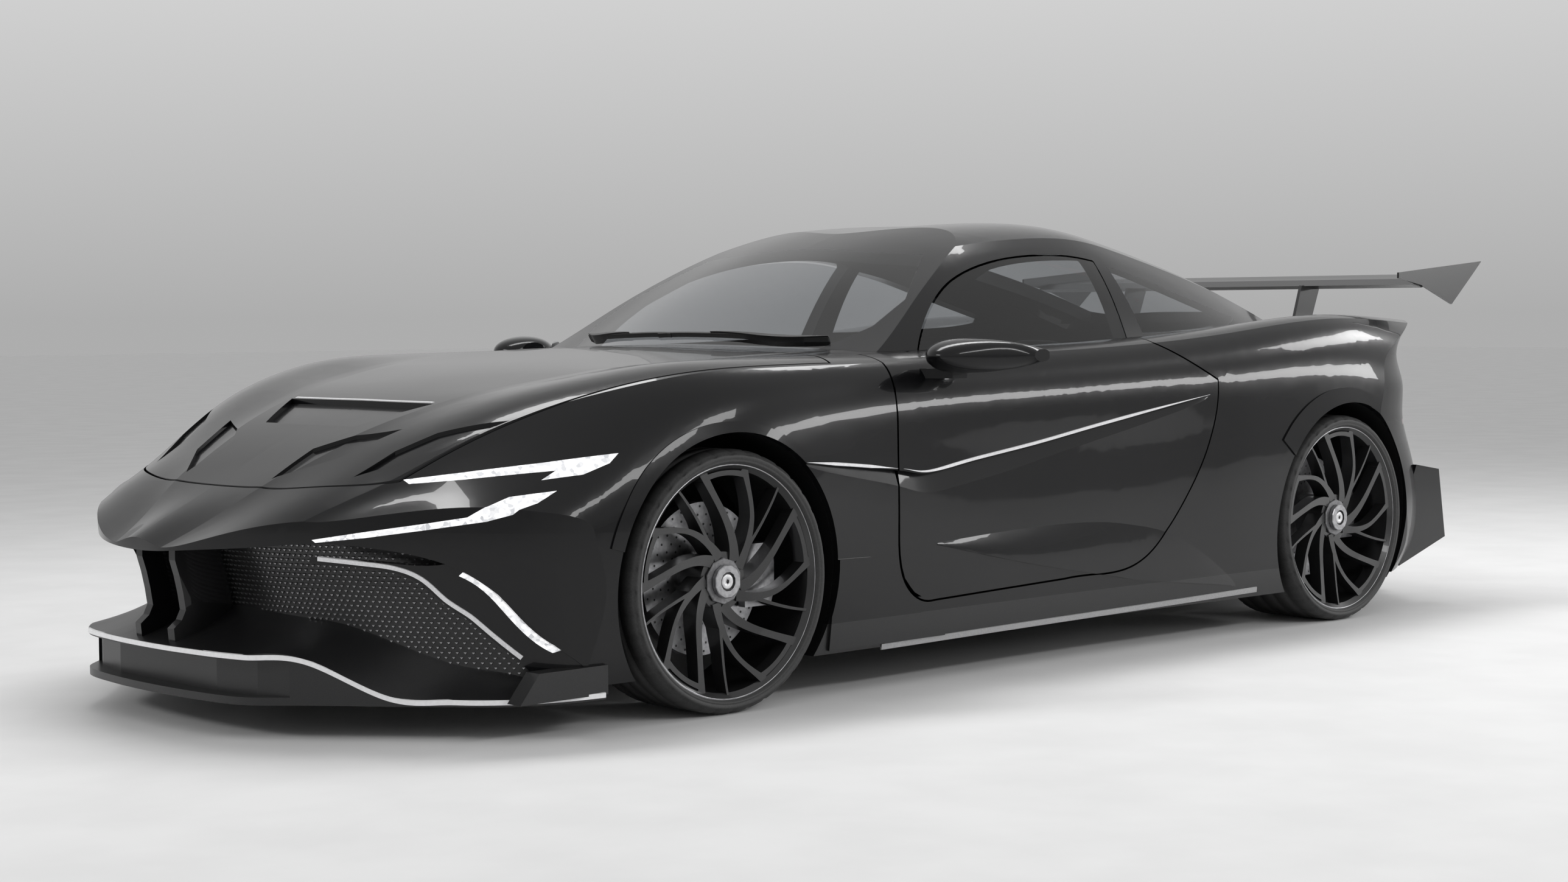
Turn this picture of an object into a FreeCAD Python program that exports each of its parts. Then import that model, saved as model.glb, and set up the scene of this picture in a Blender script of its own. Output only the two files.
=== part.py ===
import FreeCAD, Part
import math
import os
from FreeCAD import Vector

# A front-engined grand tourer in hypercar dress, as separate panels, glass, wheels and cabin pieces.
# Millimetres. X forward, Y to the car's left, Z up, origin on the ground below the middle of the car.

# Driving sizes
SIZES = {
    "front_overhang": 1200,
    "wheelbase": 2830,
    "rear_overhang": 1010,
    "body_width": 1980,
    "body_height": 1350,
    "ground_clearance": 120,
    "panel_thickness": 22,
    "panel_seat": 0.3,
    "glass_thickness": 5,
    "pillar_thickness": 42,
    "door_gap": 6,
    "lid_gap": 6,
    "door_inner_width": 1600,
    "floor_thickness": 25,
    "tyre_radius": 350,
    "front_tyre_width": 265,
    "rear_tyre_width": 315,
    "tyre_inset": 22,
    "rim_radius": 312,
    "rim_wall": 9,
    "lip_inset": 12,
    "arch_gap": 45,
    "front_wheelhouse_depth": 470,
    "rear_wheelhouse_depth": 400,
    "liner_thickness": 6,
    "hub_radius": 78,
    "spindle_radius": 30,
    "bearing_clearance": 0.05,
    "disc_radius": 205,
    "disc_thickness": 34,
    "kingpin_inset": 55,
    "kingpin_radius": 12,
    "ball_joint_spread": 300,
    "hinge_pin_radius": 8,
    "hinge_ahead": 80,
    "hinge_depth": 50,
    "engine_length": 640,
    "engine_width": 560,
    "engine_height": 480,
    "seat_width": 500,
    "seat_spacing": 740,
    "steering_wheel_radius": 178,
    "steering_rim_radius": 15,
    "mesh_thickness": 6,
    "jack_front": 620,
    "jack_rear": -860,
    "jack_side": 820,
    "jack_radius": 40,
    "jack_depth": 10,
    "wing_span": 1740,
    "wing_chord": 320,
    "wing_thickness": 33,
}

doc = FreeCAD.newDocument("Hypercar")
sheet = doc.addObject("Spreadsheet::Sheet", "Sizes")
for row, (alias, value) in enumerate(SIZES.items(), start=1):
    sheet.set(f"A{row}", alias)
    sheet.set(f"B{row}", str(value))
    sheet.setAlias(f"B{row}", alias)
doc.recompute()


def size(alias):
    """The value of one cell of the sheet."""
    return float(sheet.get(alias))


# The body lines below are drawn on a car of these sizes and stretch with the driving sizes
DRAWN_FRONT = 1200.0
DRAWN_WHEELBASE = 2830.0
DRAWN_REAR = 1010.0
DRAWN_WIDTH = 1980.0
DRAWN_HEIGHT = 1350.0

overall_length = size("front_overhang") + size("wheelbase") + size("rear_overhang")
front_axle = overall_length / 2 - size("front_overhang")
rear_axle = front_axle - size("wheelbase")


def at_x(drawn):
    """Place along the car of a station drawn from the front axle."""
    if drawn > 0:
        return front_axle + drawn * size("front_overhang") / DRAWN_FRONT
    if drawn > -DRAWN_WHEELBASE:
        return front_axle + drawn * size("wheelbase") / DRAWN_WHEELBASE
    return rear_axle + (drawn + DRAWN_WHEELBASE) * size("rear_overhang") / DRAWN_REAR


def at_y(drawn):
    return drawn * size("body_width") / DRAWN_WIDTH


def at_z(drawn):
    return drawn * size("body_height") / DRAWN_HEIGHT


def smooth_value(points, at):
    """Height of a smooth curve through hand-placed points, with no overshoot between them."""
    points = sorted(points)
    xs = [p[0] for p in points]
    ys = [p[1] for p in points]
    if at <= xs[0]:
        return ys[0] + (ys[1] - ys[0]) / (xs[1] - xs[0]) * (at - xs[0])
    if at >= xs[-1]:
        return ys[-1] + (ys[-1] - ys[-2]) / (xs[-1] - xs[-2]) * (at - xs[-1])
    steps = [b - a for a, b in zip(xs, xs[1:])]
    slopes = [(b - a) / step for a, b, step in zip(ys, ys[1:], steps)]
    tangents = [slopes[0]]
    for before, after, left, right in zip(slopes, slopes[1:], steps, steps[1:]):
        if before * after <= 0:
            tangents.append(0.0)
        else:
            heavy = 2 * right + left
            light = right + 2 * left
            tangents.append((heavy + light) / (heavy / before + light / after))
    tangents.append(slopes[-1])
    index = max(i for i in range(len(steps)) if xs[i] <= at)
    step = steps[index]
    part = (at - xs[index]) / step
    return (
        ys[index] * (1 + 2 * part) * (1 - part) ** 2
        + tangents[index] * step * part * (1 - part) ** 2
        + ys[index + 1] * part ** 2 * (3 - 2 * part)
        + tangents[index + 1] * step * part ** 2 * (part - 1)
    )


# Character lines of the lower body: station, distance from the middle, height
CENTRE_LINE = [
    (1350, 0, 405), (1200, 0, 488), (1109, 0, 536), (960, 0, 612), (800, 0, 700), (650, 0, 768),
    (480, 0, 828), (320, 0, 866), (150, 0, 896), (-50, 0, 920), (-300, 0, 942), (-700, 0, 962),
    (-1200, 0, 962), (-2000, 0, 975), (-2800, 0, 1005), (-3300, 0, 1018), (-3700, 0, 1020),
    (-3950, 0, 1016),
]
RIDGE_LINE = [
    (1350, 70, 400), (1160, 125, 484), (944, 216, 622), (875, 238, 662), (725, 285, 738),
    (573, 335, 797), (401, 390, 847), (233, 448, 878), (43, 500, 907), (-141, 552, 922),
    (-600, 640, 946), (-1200, 660, 950), (-2000, 650, 968), (-2830, 620, 1005), (-3300, 580, 1016),
    (-3700, 540, 1016), (-3950, 530, 1010),
]
CREST_LINE = [
    (1350, 400, 395), (1100, 470, 505), (960, 530, 575), (783, 603, 657), (622, 672, 745),
    (465, 750, 811), (281, 832, 861), (86, 888, 896), (-150, 905, 908), (-600, 890, 914),
    (-1200, 882, 932), (-1750, 888, 950), (-2300, 902, 988), (-2650, 905, 1020), (-2900, 895, 1030),
    (-3200, 860, 1022), (-3500, 800, 1008), (-3950, 700, 990),
]
WAIST_LINE = [
    (1350, 860, 420), (900, 905, 445), (700, 935, 465), (450, 965, 520), (250, 982, 590), (0, 990, 650),
    (-300, 972, 670), (-640, 950, 650), (-1200, 938, 610), (-1750, 944, 610), (-2300, 974, 660),
    (-2830, 990, 700), (-3250, 968, 715), (-3600, 905, 700), (-3950, 800, 690),
]
SILL_LINE = [
    (1350, 850, 120), (700, 925, 120), (250, 945, 120), (-600, 932, 120), (-1500, 925, 120),
    (-2300, 940, 120), (-2830, 950, 122), (-3300, 930, 150), (-3700, 870, 200), (-3950, 820, 225),
]
BODY_STATIONS = [
    1350, 1200, 1080, 960, 820, 680, 540, 400, 240, 60, -150, -400, -700, -1100, -1500, -1900, -2250,
    -2550, -2830, -3080, -3320, -3560, -3780, -3950,
]

# Lines of the cabin above the belt
ROOF_LINE = [
    (-400, 0, 1150), (-900, 0, 1246), (-1200, 0, 1292), (-1500, 0, 1330), (-1830, 0, 1350),
    (-2150, 0, 1336), (-2500, 0, 1266), (-2900, 0, 1148), (-3200, 0, 1044), (-3450, 0, 950),
    (-3600, 0, 890),
]
RAIL_LINE = [
    (-400, 600, 1110), (-900, 565, 1200), (-1200, 552, 1243), (-1500, 538, 1280), (-1830, 526, 1294),
    (-2050, 516, 1273), (-2225, 506, 1240), (-2560, 488, 1168), (-2914, 468, 1072), (-3100, 456, 1012),
    (-3450, 430, 905), (-3600, 420, 860),
]
BELT_LINE = [
    (-400, 790, 850), (-900, 802, 850), (-1500, 812, 850), (-1900, 808, 850), (-2300, 790, 850),
    (-2600, 752, 850), (-2900, 690, 850), (-3200, 615, 840), (-3450, 550, 820), (-3600, 520, 800),
]
CABIN_STATIONS = [
    -400, -700, -1000, -1300, -1600, -1900, -2150, -2400, -2650, -2900, -3150, -3400, -3600,
]


def on_line(line, station):
    """Width and height of a character line at a station, on the real car."""
    width = smooth_value([(p[0], p[1]) for p in line], station)
    height = smooth_value([(p[0], p[2]) for p in line], station)
    return at_y(width), at_z(height)


def skin_face(rows):
    """One smooth patch: each row is a line of points along the car, four rows across."""
    parameters = [float(i) for i in range(len(rows[0]))]
    grid = []
    for row in rows:
        curve = Part.BSplineCurve()
        curve.interpolate(Points=row, Parameters=parameters)
        grid.append(curve.getPoles())
        knots = curve.getKnots()
        repeats = curve.getMultiplicities()
    across = len(rows) - 1
    poles = [[line[i] for line in grid] for i in range(len(grid[0]))]
    surface = Part.BSplineSurface()
    surface.buildFromPolesMultsKnots(
        poles, repeats, [across + 1, across + 1], knots, [0.0, 1.0], False, False, 3, across
    )
    return surface.toShape()


def blend_rows(first, last, leave, arrive):
    """The four rows between two lines, leaving and arriving along the given directions."""
    near = []
    far = []
    for start, end, out, into in zip(first, last, leave, arrive):
        reach = (end - start).Length / 3
        near.append(start + out * reach)
        far.append(end - into * reach)
    return [first, near, far, last]


def slope(degrees):
    """Direction across the car that falls outwards by an angle."""
    angle = math.radians(degrees)
    return Vector(0, math.cos(angle), -math.sin(angle))


def chord(first, last):
    return [(end - start).normalize() for start, end in zip(first, last)]


def solid_of(faces):
    """A closed solid from the left half's faces, a bottom face that spans the car and two flat ends."""
    shell = Part.makeShell(faces)
    shell.sewShape()
    solid = Part.makeSolid(shell)
    if solid.Volume < 0:
        solid.reverse()
    return solid


def mirrored(shape):
    return shape.mirror(Vector(0, 0, 0), Vector(0, 1, 0))


def tube_solid(lines, patches, bottom):
    """Solid between the left and right patches, closed below and at both ends."""
    faces = []
    for rows in patches:
        face = skin_face(rows)
        faces.append(face)
        faces.append(mirrored(face))
    right = [Vector(p.x, -p.y, p.z) for p in bottom]
    faces.append(skin_face([bottom, right]))
    for end in (0, -1):
        edges = []
        for face in faces:
            for edge in face.Edges:
                ends = [vertex.Point for vertex in edge.Vertexes]
                if all(abs(point.x - bottom[end].x) < 0.01 for point in ends) and edge.Length > 0.01:
                    edges.append(edge)
        faces.append(Part.Face(Part.Wire(Part.__sortEdges__(edges))))
    return solid_of(faces)


def lower_body(side=0.0, top=0.0, floor=0.0):
    """The body below the belt, drawn in by a wall at its sides, top and floor."""
    rows = {"centre": [], "ridge": [], "crest": [], "waist": [], "sill": []}
    for station in BODY_STATIONS:
        place = at_x(station)
        height = on_line(CENTRE_LINE, station)[1]
        rows["centre"].append(Vector(place, 0, height - top))
        width, height = on_line(RIDGE_LINE, station)
        rows["ridge"].append(Vector(place, width, height - top))
        width, height = on_line(CREST_LINE, station)
        rows["crest"].append(Vector(place, width - 0.6 * side, height - top))
        width, height = on_line(WAIST_LINE, station)
        rows["waist"].append(Vector(place, width - side, height))
        width = on_line(SILL_LINE, station)[0]
        height = smooth_value([(p[0], p[2]) for p in SILL_LINE], station) - 120 + size("ground_clearance")
        rows["sill"].append(Vector(place, width - side, height - floor))
    count = len(BODY_STATIONS)
    flat = [slope(0)] * count
    crest = [slope(38)] * count
    upright = [slope(88)] * count
    tucked = [slope(97)] * count
    centre, ridge, crest_row, waist, sill = (rows[name] for name in rows)
    patches = [
        blend_rows(centre, ridge, flat, chord(centre, ridge)),
        blend_rows(ridge, crest_row, chord(ridge, crest_row), [slope(24)] * count),
        blend_rows(crest_row, waist, crest, upright),
        blend_rows(waist, sill, upright, tucked),
    ]
    return tube_solid(rows, patches, sill)


def cabin(side=0.0, top=0.0, floor=0.0):
    """The cabin above the belt before its windscreen is cut, drawn in by a wall."""
    rows = {"roof": [], "rail": [], "belt": []}
    for station in CABIN_STATIONS:
        place = at_x(station)
        rows["roof"].append(Vector(place, 0, on_line(ROOF_LINE, station)[1] - top))
        width, height = on_line(RAIL_LINE, station)
        rows["rail"].append(Vector(place, width - 0.5 * side, height - top))
        width, height = on_line(BELT_LINE, station)
        rows["belt"].append(Vector(place, width - side, height - floor))
    count = len(CABIN_STATIONS)
    roof, rail, belt = (rows[name] for name in rows)
    patches = [
        blend_rows(roof, rail, [slope(0)] * count, [slope(26)] * count),
        blend_rows(rail, belt, [slope(40)] * count, [slope(66)] * count),
    ]
    return tube_solid(rows, patches, belt)


def curve_through(points):
    curve = Part.BSplineCurve()
    curve.interpolate(points)
    return curve


def swept_end(plan, profile, reach, shift=0.0):
    """Everything beyond a surface that follows a plan curve along a height profile."""
    across = [(-y, x) for y, x in reversed(plan[1:])] + list(plan)
    base = curve_through([Vector(at_x(profile[0][0]) + x + shift, at_y(y), 0) for y, x in across])
    poles = base.getPoles()
    rise = curve_through([Vector(at_x(x) - at_x(profile[0][0]), 0, at_z(z)) for x, z in profile])
    grid = [[pole + up for up in rise.getPoles()] for pole in poles]
    surface = Part.BSplineSurface()
    surface.buildFromPolesMultsKnots(
        grid, base.getMultiplicities(), rise.getMultiplicities(), base.getKnots(), rise.getKnots(),
        False, False, base.Degree, rise.Degree
    )
    return surface.toShape().extrude(Vector(reach, 0, 0))


# Plan curves give distance from the middle and how far the surface lies behind its middle
NOSE_PLAN = [
    (0, 0), (150, -8), (300, -58), (500, -178), (670, -312), (800, -432), (900, -560), (960, -720),
    (1000, -900), (1060, -1300),
]
NOSE_PROFILE = [(1120, -60), (1140, 120), (1150, 250), (1172, 380), (1196, 470), (1199, 560), (1199, 700)]
TAIL_PLAN = [
    (0, 0), (250, 16), (450, 60), (620, 130), (760, 230), (870, 360), (950, 540), (1000, 760),
    (1060, 1150),
]
TAIL_PROFILE = [
    (-3560, -60), (-3640, 120), (-3760, 230), (-3790, 400), (-3740, 560), (-3690, 700), (-3690, 800),
    (-3650, 900), (-3700, 985), (-3760, 1030), (-3780, 1120),
]
SCREEN_PLAN = [(0, 0), (250, -26), (467, -95), (560, -128), (700, -170), (800, -205), (900, -250)]
SCREEN_PROFILE = [
    (-330, 780), (-490, 900), (-600, 957), (-850, 1096), (-1050, 1196), (-1150, 1240), (-1285, 1290),
    (-1600, 1380),
]


def nose_end(shift=0.0):
    return swept_end(NOSE_PLAN, NOSE_PROFILE, 1500, shift)


def tail_end(shift=0.0):
    return swept_end(TAIL_PLAN, TAIL_PROFILE, -1500, shift)


def screen_end(shift=0.0):
    return swept_end(SCREEN_PLAN, SCREEN_PROFILE, 1500, shift)


def closed_face(runs):
    """A flat face whose edge is a chain of runs: two points give a line, more give a smooth curve."""
    edges = []
    for run, after in zip(runs, runs[1:] + runs[:1]):
        if len(run) == 2:
            edges.append(Part.makeLine(run[0], run[1]))
        else:
            edges.append(curve_through(run).toShape())
        if (run[-1] - after[0]).Length > 0.001:
            edges.append(Part.makeLine(run[-1], after[0]))
    return Part.Face(Part.Wire(Part.__sortEdges__(edges)))


def side_face(runs, y=0.0):
    """A face in side view from runs of drawn station and height."""
    return closed_face([[Vector(at_x(x), y, at_z(z)) for x, z in run] for run in runs])


def front_face(runs, place):
    """A face in front view from runs of distance from the middle and height."""
    return closed_face([[Vector(place, at_y(y), at_z(z)) for y, z in run] for run in runs])


def plan_face(runs):
    return closed_face([[Vector(at_x(x), at_y(y), 0) for x, y in run] for run in runs])


def strip_face(points, width, place):
    """A band of one width about a smooth front view line."""
    left = []
    right = []
    for index, (y, z) in enumerate(points):
        before = points[max(index - 1, 0)]
        after = points[min(index + 1, len(points) - 1)]
        run = math.hypot(after[0] - before[0], after[1] - before[1])
        off_y = -(after[1] - before[1]) / run * width / 2
        off_z = (after[0] - before[0]) / run * width / 2
        left.append((y + off_y, z + off_z))
        right.append((y - off_y, z - off_z))
    return front_face([left, right[::-1]], place)


def side_prism(points, inner, outer):
    """A solid from a side view outline, between two distances from the middle."""
    wire = Part.makePolygon([Vector(at_x(x), inner, at_z(z)) for x, z in points + points[:1]])
    return Part.Face(wire).extrude(Vector(0, outer - inner, 0))


def plan_prism(points, low, high):
    wire = Part.makePolygon([Vector(at_x(x), at_y(y), low) for x, y in points + points[:1]])
    return Part.Face(wire).extrude(Vector(0, 0, high - low))


def front_prism(points, rear, front):
    wire = Part.makePolygon([Vector(rear, at_y(y), at_z(z)) for y, z in points + points[:1]])
    return Part.Face(wire).extrude(Vector(front - rear, 0, 0))


def both_sides(points):
    """A left side outline closed over the middle line."""
    return points + [(x, -y) for x, y in reversed(points)]


def block(x0, x1, y0, y1, z0, z1):
    return Part.makeBox(x1 - x0, y1 - y0, z1 - z0, Vector(x0, y0, z0))


def rod(radius, start, end):
    axis = end - start
    return Part.makeCylinder(radius, axis.Length, start, axis)


def joined(shapes):
    first = shapes[0]
    if len(shapes) == 1:
        return first
    return first.multiFuse(shapes[1:]).removeSplitter()


def feature(name, shape):
    """A sub-part whose form needs free surfaces."""
    piece = doc.addObject("Part::Feature", name)
    piece.Label = name
    piece.Shape = shape
    return piece


nodes = []


def keep(name, shape):
    solids = shape.Solids
    if len(solids) == 1:
        shape = solids[0]
    else:
        shape = Part.makeCompound(solids)
    nodes.append(feature(name, shape))


half_width = size("body_width") / 2
wall = size("panel_thickness")
seat = size("panel_seat")
arch_radius = size("tyre_radius") + size("arch_gap")
front_wheel_y = half_width - size("tyre_inset") - size("front_tyre_width") / 2
rear_wheel_y = half_width - size("tyre_inset") - size("rear_tyre_width") / 2
axle_height = size("tyre_radius")
AXLES = {
    "front": (front_axle, front_wheel_y, size("front_tyre_width"), size("front_wheelhouse_depth")),
    "rear": (rear_axle, rear_wheel_y, size("rear_tyre_width"), size("rear_wheelhouse_depth")),
}


def arch_space(extra=0.0, deeper=0.0):
    """The room for all four wheels."""
    shapes = []
    for place, _, _, depth in AXLES.values():
        for side in (1, -1):
            start = Vector(place, side * (half_width - depth - deeper), axle_height)
            end = Vector(place, side * (half_width + 80), axle_height)
            shapes.append(rod(arch_radius + extra, start, end))
    return Part.makeCompound(shapes)


# Body volumes
outer = lower_body().cut(nose_end()).cut(tail_end())
plain_body = outer


def skin_width(body, x, z):
    """Distance of a body's side skin from the middle."""
    line = Part.makeLine(Vector(x, at_y(600), z), Vector(x, at_y(1100), z))
    return body.common(line).BoundBox.YMax


def draped(rows, reach):
    """A surface over rows of side view points and heights above the skin, made solid sideways."""
    lines = []
    for row in rows:
        line = []
        for x, z, proud in row:
            place = Vector(at_x(x), 0, at_z(z))
            place.y = skin_width(plain_body, place.x, place.z) + proud
            line.append(place)
        lines.append(line)
    solid = skin_face(lines).extrude(Vector(0, reach, 0))
    if solid.Volume < 0:
        solid.reverse()
    return solid


# Side channel under the blade line: a shelf above, fading out below
CHANNEL_TOP = [
    (-223, 652, 1), (-447, 633, -9), (-658, 612, -15), (-775, 600, -17), (-971, 626, -17),
    (-1243, 661, -16), (-1522, 704, -14), (-1811, 747, -10), (-2078, 786, 1),
]
CHANNEL_LOW = [
    (-300, 623, 2), (-498, 590, 2), (-657, 560, 2), (-768, 538, 2), (-915, 552, 2), (-1141, 585, 2),
    (-1411, 637, 2), (-1696, 690, 2), (-2070, 762, 2),
]
# Raised lens at the foot of the door, and the raised plate and arch lips around it
LENS_TOP = [
    (-807, 404, -2), (-966, 416, -2), (-1239, 432, -2), (-1556, 435, -2), (-1726, 415, -2),
    (-1897, 376, -2), (-2063, 297, -2), (-2182, 222, -2), (-2237, 180, -2),
]
LENS_RISE = [
    (-807, 398, 1), (-966, 386, 5), (-1239, 362, 8), (-1556, 330, 9), (-1726, 305, 9), (-1897, 275, 8),
    (-2063, 236, 5), (-2182, 196, 2), (-2237, 172, 0),
]
LENS_LOW = [
    (-807, 392, 1), (-966, 360, 6), (-1239, 305, 10), (-1556, 250, 12), (-1726, 222, 12),
    (-1897, 202, 10), (-2063, 184, 7), (-2182, 170, 3), (-2237, 160, 0),
]
SKIRT_PLATE = [
    (-376, 381), (-531, 378), (-612, 330), (-655, 275), (-700, 228), (-848, 144), (-848, 130),
    (-374, 130),
]
SKIRT_PLATE_PROUD = 8
ARCH_LIPS = {"front": (12, 424, 16, 132), "rear": (-2790, 447, 39, 113)}
ARCH_LIP_PROUD = 5


def arch_lip(centre, radius, start, end):
    """The room of a proud lip between two angles about an arch."""
    hub = Vector(at_x(centre), half_width - 300, size("tyre_radius"))
    corners = [hub]
    for step in range(5):
        angle = math.radians(start + (end - start) * step / 4)
        corners.append(hub + Vector(math.cos(angle), 0, math.sin(angle)) * 2 * radius)
    wedge = Part.Face(Part.makePolygon(corners + [hub])).extrude(Vector(0, 400, 0))
    return rod(radius, hub, hub + Vector(0, 400, 0)).common(wedge)


channel = draped([CHANNEL_TOP, CHANNEL_LOW], 150)
lens = draped([LENS_TOP, LENS_RISE, LENS_LOW], -60)
lip_rooms = Part.makeCompound([arch_lip(*spot) for spot in ARCH_LIPS.values()])
lips = lower_body(-ARCH_LIP_PROUD).common(lip_rooms)
plate = lower_body(-SKIRT_PLATE_PROUD).common(side_prism(SKIRT_PLATE, half_width - 200, half_width + 100))
plate = plate.cut(arch_space())
outer = outer.cut(channel).cut(mirrored(channel))
extras = [lens, plate] + lips.Solids
outer = outer.multiFuse(extras + [mirrored(piece) for piece in extras])
inner = lower_body(wall, wall, 80).cut(nose_end(-wall)).cut(tail_end(wall))
seated = lower_body(wall + seat, wall + seat, 80).cut(nose_end(-wall - seat)).cut(tail_end(wall + seat))
roof_outer = cabin().cut(screen_end())
pillar = size("pillar_thickness")
roof_inner = cabin(pillar, pillar, 40).cut(screen_end(-2 * pillar))
arches = arch_space()
shell = outer.cut(inner).cut(arches)
low_edge = size("ground_clearance")

# Side view outline of a door, and the same outline grown by the shut gap
DOOR_FRONT = [(-646, 1100), (-646, 430)]
DOOR_HEEL = [(-646, 430), (-650, 372), (-672, 304), (-716, 258), (-800, 238)]
DOOR_FOOT = [(-800, 238), (-1384, 254)]
DOOR_REAR = [
    (-1384, 254), (-1573, 257), (-1690, 270), (-1790, 312), (-1880, 385), (-1965, 480), (-2040, 585),
    (-2090, 690), (-2108, 770), (-2112, 835),
]
DOOR_HEAD = [(-2112, 835), (-1868, 955), (-1868, 1100)]
DOOR_OUTLINE = [DOOR_FRONT, DOOR_HEEL, DOOR_FOOT, DOOR_REAR, DOOR_HEAD[:2], DOOR_HEAD[1:]]
LEAST_EDGE = 0.5


def moved_outline(face, gap):
    """A face grown by a gap, its moved edge drawn again as lines and curves that share ends."""
    runs = []
    for edge in face.makeOffset2D(gap, 0).OuterWire.OrderedEdges:
        if edge.Length < LEAST_EDGE:
            continue
        straight = edge.Curve.TypeId == "Part::GeomLine"
        points = edge.discretize(Number=2 if straight else max(5, min(30, int(edge.Length / 12))))
        if runs and (points[0] - runs[-1][-1]).Length > (points[-1] - runs[-1][-1]).Length:
            points.reverse()
        runs.append(points)
    if (runs[0][0] - runs[-1][-1]).Length > (runs[0][-1] - runs[-1][-1]).Length:
        runs[0].reverse()
    for run, before in zip(runs, runs[-1:] + runs[:-1]):
        run[0] = before[-1]
    return closed_face(runs)


def grown(runs, gap):
    """A side view outline moved outwards by a gap."""
    return moved_outline(side_face(runs), gap)


door_face = side_face(DOOR_OUTLINE)
door_prism = door_face.extrude(Vector(0, half_width + 50, 0))
door_room = grown(DOOR_OUTLINE, size("door_gap")).extrude(Vector(0, half_width + 50, 0))
DOOR_PLAN = (-600, -850, -870, -2000, -2200)
DOOR_STEP = 28


def door_slab(gap):
    """The room of a door in plan, grown inwards and lengthwise by a gap."""
    near = size("door_inner_width") / 2 - gap
    deep = near - DOOR_STEP
    far = half_width + 110
    front, step, heel, seam, back = (at_x(x) for x in DOOR_PLAN)
    points = [(front, near), (step + gap, near), (heel + gap, deep), (seam, deep), (back - gap, deep)]
    points += [(back - gap, far), (front, far), (front, near)]
    wire = Part.makePolygon([Vector(x, y, 0) for x, y in points])
    return Part.Face(wire).extrude(Vector(0, 0, 1500))


door_plan = door_slab(0)
door_room_plan = door_slab(size("door_gap"))
door = outer.common(door_prism).common(door_plan)
door_opening = door_room.common(door_room_plan)
door_openings = Part.makeCompound([door_opening, mirrored(door_opening)])

# Bonnet, front bumper, front wings
BONNET_BACK = -500
BONNET_SIDE = [
    (-440, 880), (-150, 888), (86, 872), (260, 824), (446, 756), (590, 690), (712, 636), (800, 604),
]
BONNET_FRONT = [(800, 604), (877, 513), (931, 375), (955, 199), (960, 0)]


def other_side(run):
    return [(x, -y) for x, y in reversed(run)]


def plan_region(runs, gap):
    face = plan_face(runs)
    return moved_outline(face, gap) if gap else face


def polygon_runs(outline):
    """The straight runs of a left half outline that is closed over the middle."""
    points = both_sides(outline)
    return [[start, end] for start, end in zip(points, points[1:] + points[:1])]


bonnet_front_run = BONNET_FRONT + other_side(BONNET_FRONT)[1:]
BONNET_RUNS = [
    BONNET_SIDE, bonnet_front_run, other_side(BONNET_SIDE), [(-440, -880), (BONNET_BACK, -700)],
    [(BONNET_BACK, -700), (BONNET_BACK, 700)], [(BONNET_BACK, 700), (-440, 880)],
]
bonnet_region = plan_region(BONNET_RUNS, 0).extrude(Vector(0, 0, 2000))
bonnet_room = plan_region(BONNET_RUNS, size("lid_gap")).extrude(Vector(0, 0, 2000))
bonnet = shell.common(bonnet_region)


# Sunk facets of the bonnet: the outlet ahead of the raised middle, and two scoops on each side
OUTLET = [(672, 216), (506, 342), (506, -342), (672, -216)]
OUTLET_DEPTH = 15
SCOOPS = [
    [(858, 486), (745, 508), (655, 566), (536, 712), (690, 628)],
    [(925, 212), (790, 202), (716, 292), (660, 420), (812, 345)],
]
SCOOP_DEPTH = 11


def sunk_wedge(points, deep_x, shallow_x, depth):
    """A pocket that follows the skin and gets deeper from one station to another."""
    low = lower_body(0, depth)
    prism = plan_prism(points, 300, 1300)
    pocket = prism.cut(low)
    near, far = sorted((at_x(deep_x), at_x(shallow_x)))
    return pocket.common(block(near, far, -1200, 1200, 0, 1400))


bonnet_pockets = [sunk_wedge(OUTLET, 500, 680, OUTLET_DEPTH)]
for scoop in SCOOPS:
    pocket = sunk_wedge(scoop, 500, 960, SCOOP_DEPTH)
    bonnet_pockets += [pocket, mirrored(pocket)]
for pocket in bonnet_pockets:
    bonnet = bonnet.cut(pocket)

BUMPER_SPLIT = [(1400, 1100), (958, 1100), (958, 560), (830, 520), (300, 505), (300, 0), (1400, 0)]
bumper_region = side_prism(BUMPER_SPLIT, -1200, 1200)
front_shell = shell.cut(bonnet_room).cut(door_openings)
front_bumper = front_shell.common(bumper_region)

# The wide mouth: nose edge across the middle, then down to the outer ends of the splitter
MOUTH_EDGE = [
    (0, 455), (110, 459), (253, 469), (366, 477), (452, 485), (524, 490), (580, 488), (628, 482),
    (686, 472), (740, 456), (790, 430), (828, 392), (860, 345), (888, 290), (914, 234), (937, 186),
    (950, 130),
]
MOUTH_BACK = 480
MOUTH_WALL = 9
MOUTH_DEPTH = 118


def moved_out(points, gap):
    """An open line moved sideways by a gap, away from the mouth."""
    moved = []
    for index, (y, z) in enumerate(points):
        before = points[max(index - 1, 0)]
        after = points[min(index + 1, len(points) - 1)]
        run = math.hypot(after[0] - before[0], after[1] - before[1])
        moved.append((y - (after[1] - before[1]) / run * gap, z + (after[0] - before[0]) / run * gap))
    moved[0] = (0, points[0][1] + gap)
    return moved


def mouth_face(edge, place, low=60):
    run = [(-y, z) for y, z in reversed(edge)] + edge[1:]
    return front_face(
        [run, [edge[-1], (edge[-1][0], low)], [(edge[-1][0], low), (-edge[-1][0], low)]], place,
    )


def nose_layer(front, back):
    """The part of the body between two depths behind the nose surface."""
    return lower_body().common(nose_end(-back)).cut(nose_end(-front))


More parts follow.
